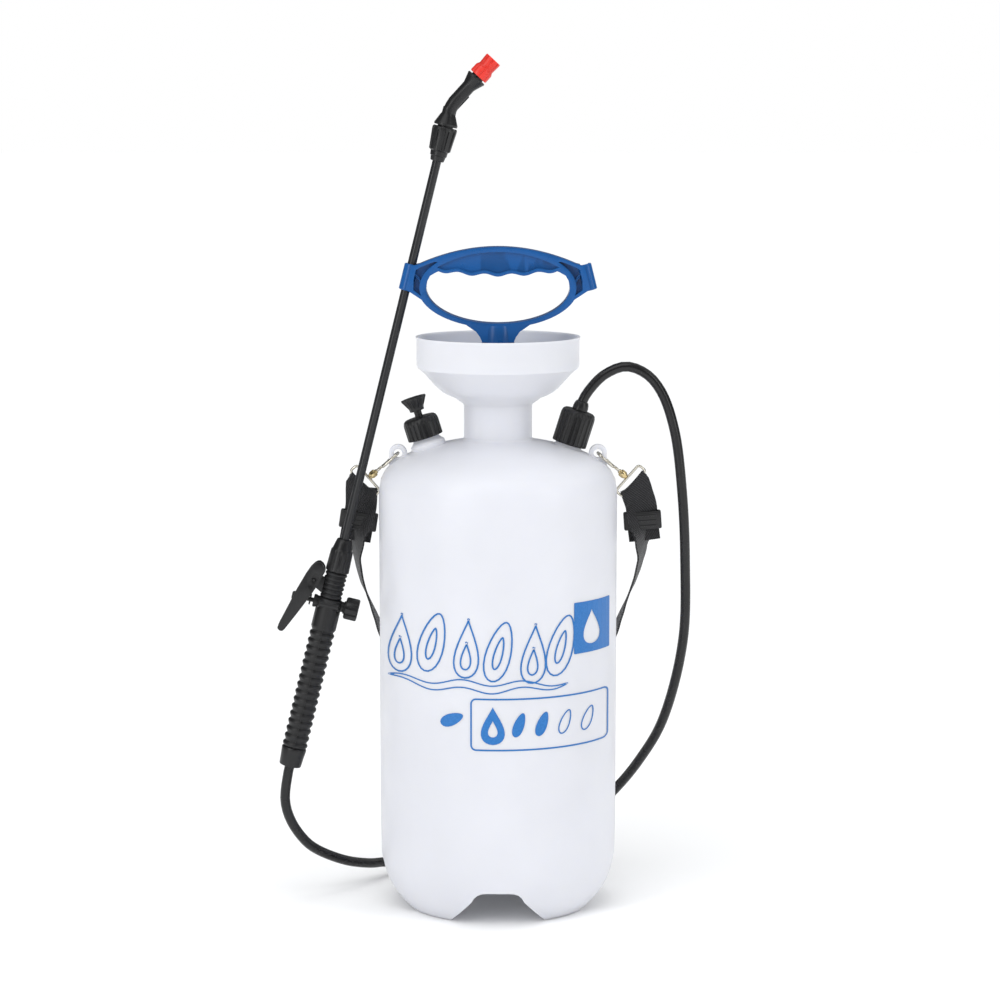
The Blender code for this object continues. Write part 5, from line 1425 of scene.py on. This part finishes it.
def strap_half(side):
    """Stations of one side, from the free tip over the ring's bar down to the middle."""
    local = ROOT.inverted() @ hook_place(side)
    bar = local @ Vector((0.0405, 0.0045, 0.0))
    run, back, along = (local.to_3x3() @ Vector(v) for v in ((1, 0, 0), (0, 1, 0), (0, 0, 1)))
    along = along if along.x * side > 0 else -along
    level = Vector((side * 1.0, 0.0, 0.0))
    around = [bar + back * 0.0020, bar + back * 0.0012 - run * 0.0015, bar - run * 0.0020,
              bar - back * 0.0012 - run * 0.0015, bar - back * 0.0020]
    tail = [strap_spot(side, i) + Vector((0.0, 0.0028, 0.0)) for i in (3, 2, 1)]
    tail[0] += Vector((side * 0.0015, 0.0012, -0.0040))
    near = bar.lerp(strap_spot(side, 1), 0.45)
    stations = [(tail[0], level), (tail[1], level), (tail[2], level),
                (near + back * 0.0026, (level + along * 0.9).normalized())]
    stations += [(p, along) for p in around]
    stations.append((near - back * 0.0010, (level + along * 0.9).normalized()))
    for index in range(1, len(STRAP_DROP)):
        turn, lift = (math.radians(v) for v in STRAP_DROP[index][3:])
        wide = Vector((side * math.cos(turn) * math.cos(lift), math.sin(turn) * math.cos(lift),
                       math.sin(lift)))
        stations.append((strap_spot(side, index), wide))
    return stations


def strap_line():
    """Evenly spaced middle points of the strap with the way its width points at each."""
    right, left = strap_half(1), strap_half(-1)
    flipped = [(p, -w if index < len(left) else w) for index, (p, w) in enumerate(left)]
    stations = right + flipped[-2::-1]
    for index in range(1, len(stations)):
        if stations[index][1].dot(stations[index - 1][1]) < 0:
            stations[index] = (stations[index][0], -stations[index][1])
    middle = smooth_points([p for p, _ in stations], 0.0035)
    marks = [0.0]
    for (a, _), (b, _) in zip(stations, stations[1:]):
        marks.append(marks[-1] + (b - a).length)
    line = []
    for index, point in enumerate(middle):
        wanted = marks[-1] * index / (len(middle) - 1)
        slot = max(i for i in range(len(marks) - 1) if marks[i] <= wanted + 1e-9)
        share = (wanted - marks[slot]) / max(1e-9, marks[slot + 1] - marks[slot])
        share = share * share * (3 - 2 * share)
        wide = stations[slot][1].lerp(stations[slot + 1][1], share).normalized()
        line.append((point, wide))
    return line


class SPRAYER_OT_strap(bpy.types.Operator):
    """Carrying strap of woven webbing, over both rings and through both sliders"""
    bl_idname = "sprayer.strap"
    bl_label = "Strap"

    def execute(self, context):
        width = context.scene.sprayer_sizes.strap_width
        line = strap_line()
        length = run_length([p for p, _ in line])
        across = 8
        leave_edit()
        bpy.ops.object.select_all(action="DESELECT")
        bpy.ops.mesh.primitive_grid_add(x_subdivisions=across, y_subdivisions=len(line) - 1,
                                        size=1.0)
        strap = context.object
        mesh = strap.data
        mesh.uv_layers.new(name="run")
        for other in [u for u in mesh.uv_layers if u.name != "run"]:
            mesh.uv_layers.remove(other)
        uv = mesh.uv_layers["run"]
        rows = {}
        for point in mesh.vertices:
            column = round((point.co.x + 0.5) * across)
            row = round((point.co.y + 0.5) * (len(line) - 1))
            rows[point.index] = (column, row)
        for corner in mesh.loops:
            column, row = rows[corner.vertex_index]
            uv.data[corner.index].uv = (width * column / across, length * row / (len(line) - 1))
        for point in mesh.vertices:
            column, row = rows[point.index]
            middle, wide = line[row]
            before, after = line[max(0, row - 1)][0], line[min(len(line) - 1, row + 1)][0]
            run = (after - before).normalized()
            wide = (wide - run * wide.dot(run)).normalized()
            side = column / across * 2 - 1
            cupped = run.cross(wide) * 0.0007 * (side * side - 0.33)
            point.co = middle + wide * side * width / 2 + cupped
        strap.name = mesh.name = "carrying_strap"
        only(strap)
        solid = strap.modifiers.new("thickness", "SOLIDIFY")
        solid.thickness = 0.0014
        solid.offset = 0.0
        apply_all(strap)
        finish_piece(strap, "webbing", "tank", "strap", place=ROOT, smooth=60.0, slot="webbing")
        return {"FINISHED"}


def loop_points(near, far, half, corner, steps=5):
    points = []
    for x, z, turn in ((far - corner, half - corner, 0), (near + corner, half - corner, 90),
                       (near + corner, -half + corner, 180), (far - corner, -half + corner, 270)):
        for i in range(steps + 1):
            a = math.radians(turn + 90 * i / steps)
            points.append(Vector((x + corner * math.cos(a), 0.0045, z + corner * math.sin(a))))
    return points


class SPRAYER_OT_fittings(bpy.types.Operator):
    """Snap hooks with swivel and gate, wire loops and strap sliders"""
    bl_idname = "sprayer.fittings"
    bl_label = "Hooks, loops and sliders"

    def execute(self, context):
        for side, name in ((1, "right"), (-1, "left")):
            place = hook_place(side)
            half = 0.0052
            bow = [Vector((half - half * math.sin(a), -half * math.cos(a), 0.0))
                   for a in (math.pi * i / 20 for i in range(21))]
            path = [Vector(p) for p in ((0.0240, 0.0045, 0.0), (0.0205, 0.0045, 0.0),
                                        (0.0180, 0.0022, 0.0), (0.0155, -0.0039, 0.0),
                                        (0.0130, -half, 0.0), (0.0090, -half, 0.0))]
            path += bow + [Vector((0.0085, half, 0.0)), Vector((0.0115, half, 0.0))]
            hook = swept(f"snap_hook_wire_{name}", smooth_points(path, 0.0008), 0.0012, sides=3)
            finish_piece(hook, "nickel", "tank", f"snap_hook_{name}", place=place, slot="nickel",
                         smooth=50.0)
            swivel = turned(f"hook_swivel_{name}", [(0.0, 0.0068), (0.0018, 0.0068), (0.0023, 0.0065),
                                                    (0.0024, 0.0058), (0.0030, 0.0050),
                                                    (0.0031, 0.0044), (0.0031, 0.0018),
                                                    (0.0028, 0.0011), (0.0019, 0.0007),
                                                    (0.0017, -0.0006), (0.0, -0.0009)], 40)
            leave_edit()
            settle(swivel, Matrix.Translation((0.0245, 0.0045, 0.0))
                   @ Matrix.Rotation(math.pi / 2, 4, "Y"))
            finish_piece(swivel, "brass", "tank", place=place, slot="nickel")
            gate_end = 0.0245 - 0.0065
            gate = swept(f"hook_gate_wire_{name}",
                         [Vector((0.0119, half, 0.0)), Vector((0.0140, half + 0.0001, 0.0)),
                          Vector((gate_end - 0.0015, half + 0.0001, 0.0)),
                          Vector((gate_end, half, 0.0))], 0.00095, sides=3)
            finish_piece(gate, "nickel", f"gate_{name}", f"hook_gate_{name}", place=place,
                         slot="nickel", smooth=50.0)
            loop = swept(f"strap_wire_loop_{name}",
                         loop_points(0.0327, 0.0405, 0.0139, 0.0025), 0.0011, cyclic=True)
            finish_piece(loop, "nickel", "tank", f"strap_ring_{name}", place=place, slot="nickel",
                         smooth=50.0)
            self.slider(side, name)
        return {"FINISHED"}

    def slider(self, side, name):
        """A ladder-shaped slider: an outer frame with a middle bar the strap goes round."""
        spot = strap_spot(side, 2) + Vector((0.0, 0.0014, 0.0))
        run = (strap_spot(side, 1) - strap_spot(side, 3)).normalized()
        wide = (Vector((1.0, 0.0, 0.0)) - run * run.x).normalized()
        turn = Matrix((wide, run.cross(wide), run)).transposed().to_4x4()
        frame_piece = begin(f"slider_frame_{name}", bpy.ops.mesh.primitive_cube_add, size=1.0)
        bpy.ops.transform.resize(value=(0.0303, 0.0062, 0.0148))
        leave_edit()
        rounded(frame_piece, 0.0014, 3)
        hole = begin("slider_way", bpy.ops.mesh.primitive_cube_add, size=1.0)
        bpy.ops.transform.resize(value=(0.0262, 0.0044, 0.05))
        leave_edit()
        combine(frame_piece, hole)
        ribs = []
        for offset in (-0.0042, 0.0, 0.0042):
            rib = begin(f"slider_rib_{offset}", bpy.ops.mesh.primitive_cube_add, size=1.0)
            bpy.ops.transform.resize(value=(0.0225, 0.0011, 0.0016))
            bpy.ops.transform.translate(value=(0.0, -0.0030, offset))
            leave_edit()
            rounded(rib, 0.0004)
            ribs.append(rib)
        joined(f"slider_frame_{name}", frame_piece, *ribs)
        finish_piece(frame_piece, "black", "tank", f"strap_slider_{name}",
                     place=ROOT @ Matrix.Translation(spot) @ turn, slot="black_plastic")


# ---------------------------------------------------------------- panel and registration
STEPS = (
    SPRAYER_OT_stage,
    SPRAYER_OT_hose,
    SPRAYER_OT_tank,
    SPRAYER_OT_print,
    SPRAYER_OT_outlet,
    SPRAYER_OT_relief,
    SPRAYER_OT_pump_head,
    SPRAYER_OT_tube,
    SPRAYER_OT_upper_nut,
    SPRAYER_OT_nozzle,
    SPRAYER_OT_lower_nut,
    SPRAYER_OT_grip,
    SPRAYER_OT_trigger,
    SPRAYER_OT_handle,
    SPRAYER_OT_strap,
    SPRAYER_OT_fittings,
)


class SPRAYER_PT_pieces(bpy.types.Panel):
    """Buttons for the pieces, in the order they are made"""
    bl_idname = "SPRAYER_PT_pieces"
    bl_label = "Pump Sprayer"
    bl_space_type = "VIEW_3D"
    bl_region_type = "UI"
    bl_category = "Sprayer"

    def draw(self, context):
        layout = self.layout
        for group in (context.scene.sprayer_sizes, context.scene.sprayer_colours):
            for name in group.__annotations__:
                layout.prop(group, name)
        for step in STEPS:
            layout.operator(step.bl_idname)


CLASSES = (SprayerSizes, SprayerColours, *STEPS, SPRAYER_PT_pieces)


def register():
    for one in CLASSES:
        bpy.utils.register_class(one)
    bpy.types.Scene.sprayer_sizes = bpy.props.PointerProperty(type=SprayerSizes)
    bpy.types.Scene.sprayer_colours = bpy.props.PointerProperty(type=SprayerColours)


def unregister():
    del bpy.types.Scene.sprayer_colours
    del bpy.types.Scene.sprayer_sizes
    for one in reversed(CLASSES):
        bpy.utils.unregister_class(one)


def main():
    register()
    make_finishes(bpy.context.scene.sprayer_colours)
    dress_frame_nodes()
    for step in STEPS:
        group, name = step.bl_idname.split(".")
        getattr(getattr(bpy.ops, group), name)()
    leave_edit()
    bpy.ops.object.select_all(action="DESELECT")


if __name__ == "__main__":
    main()
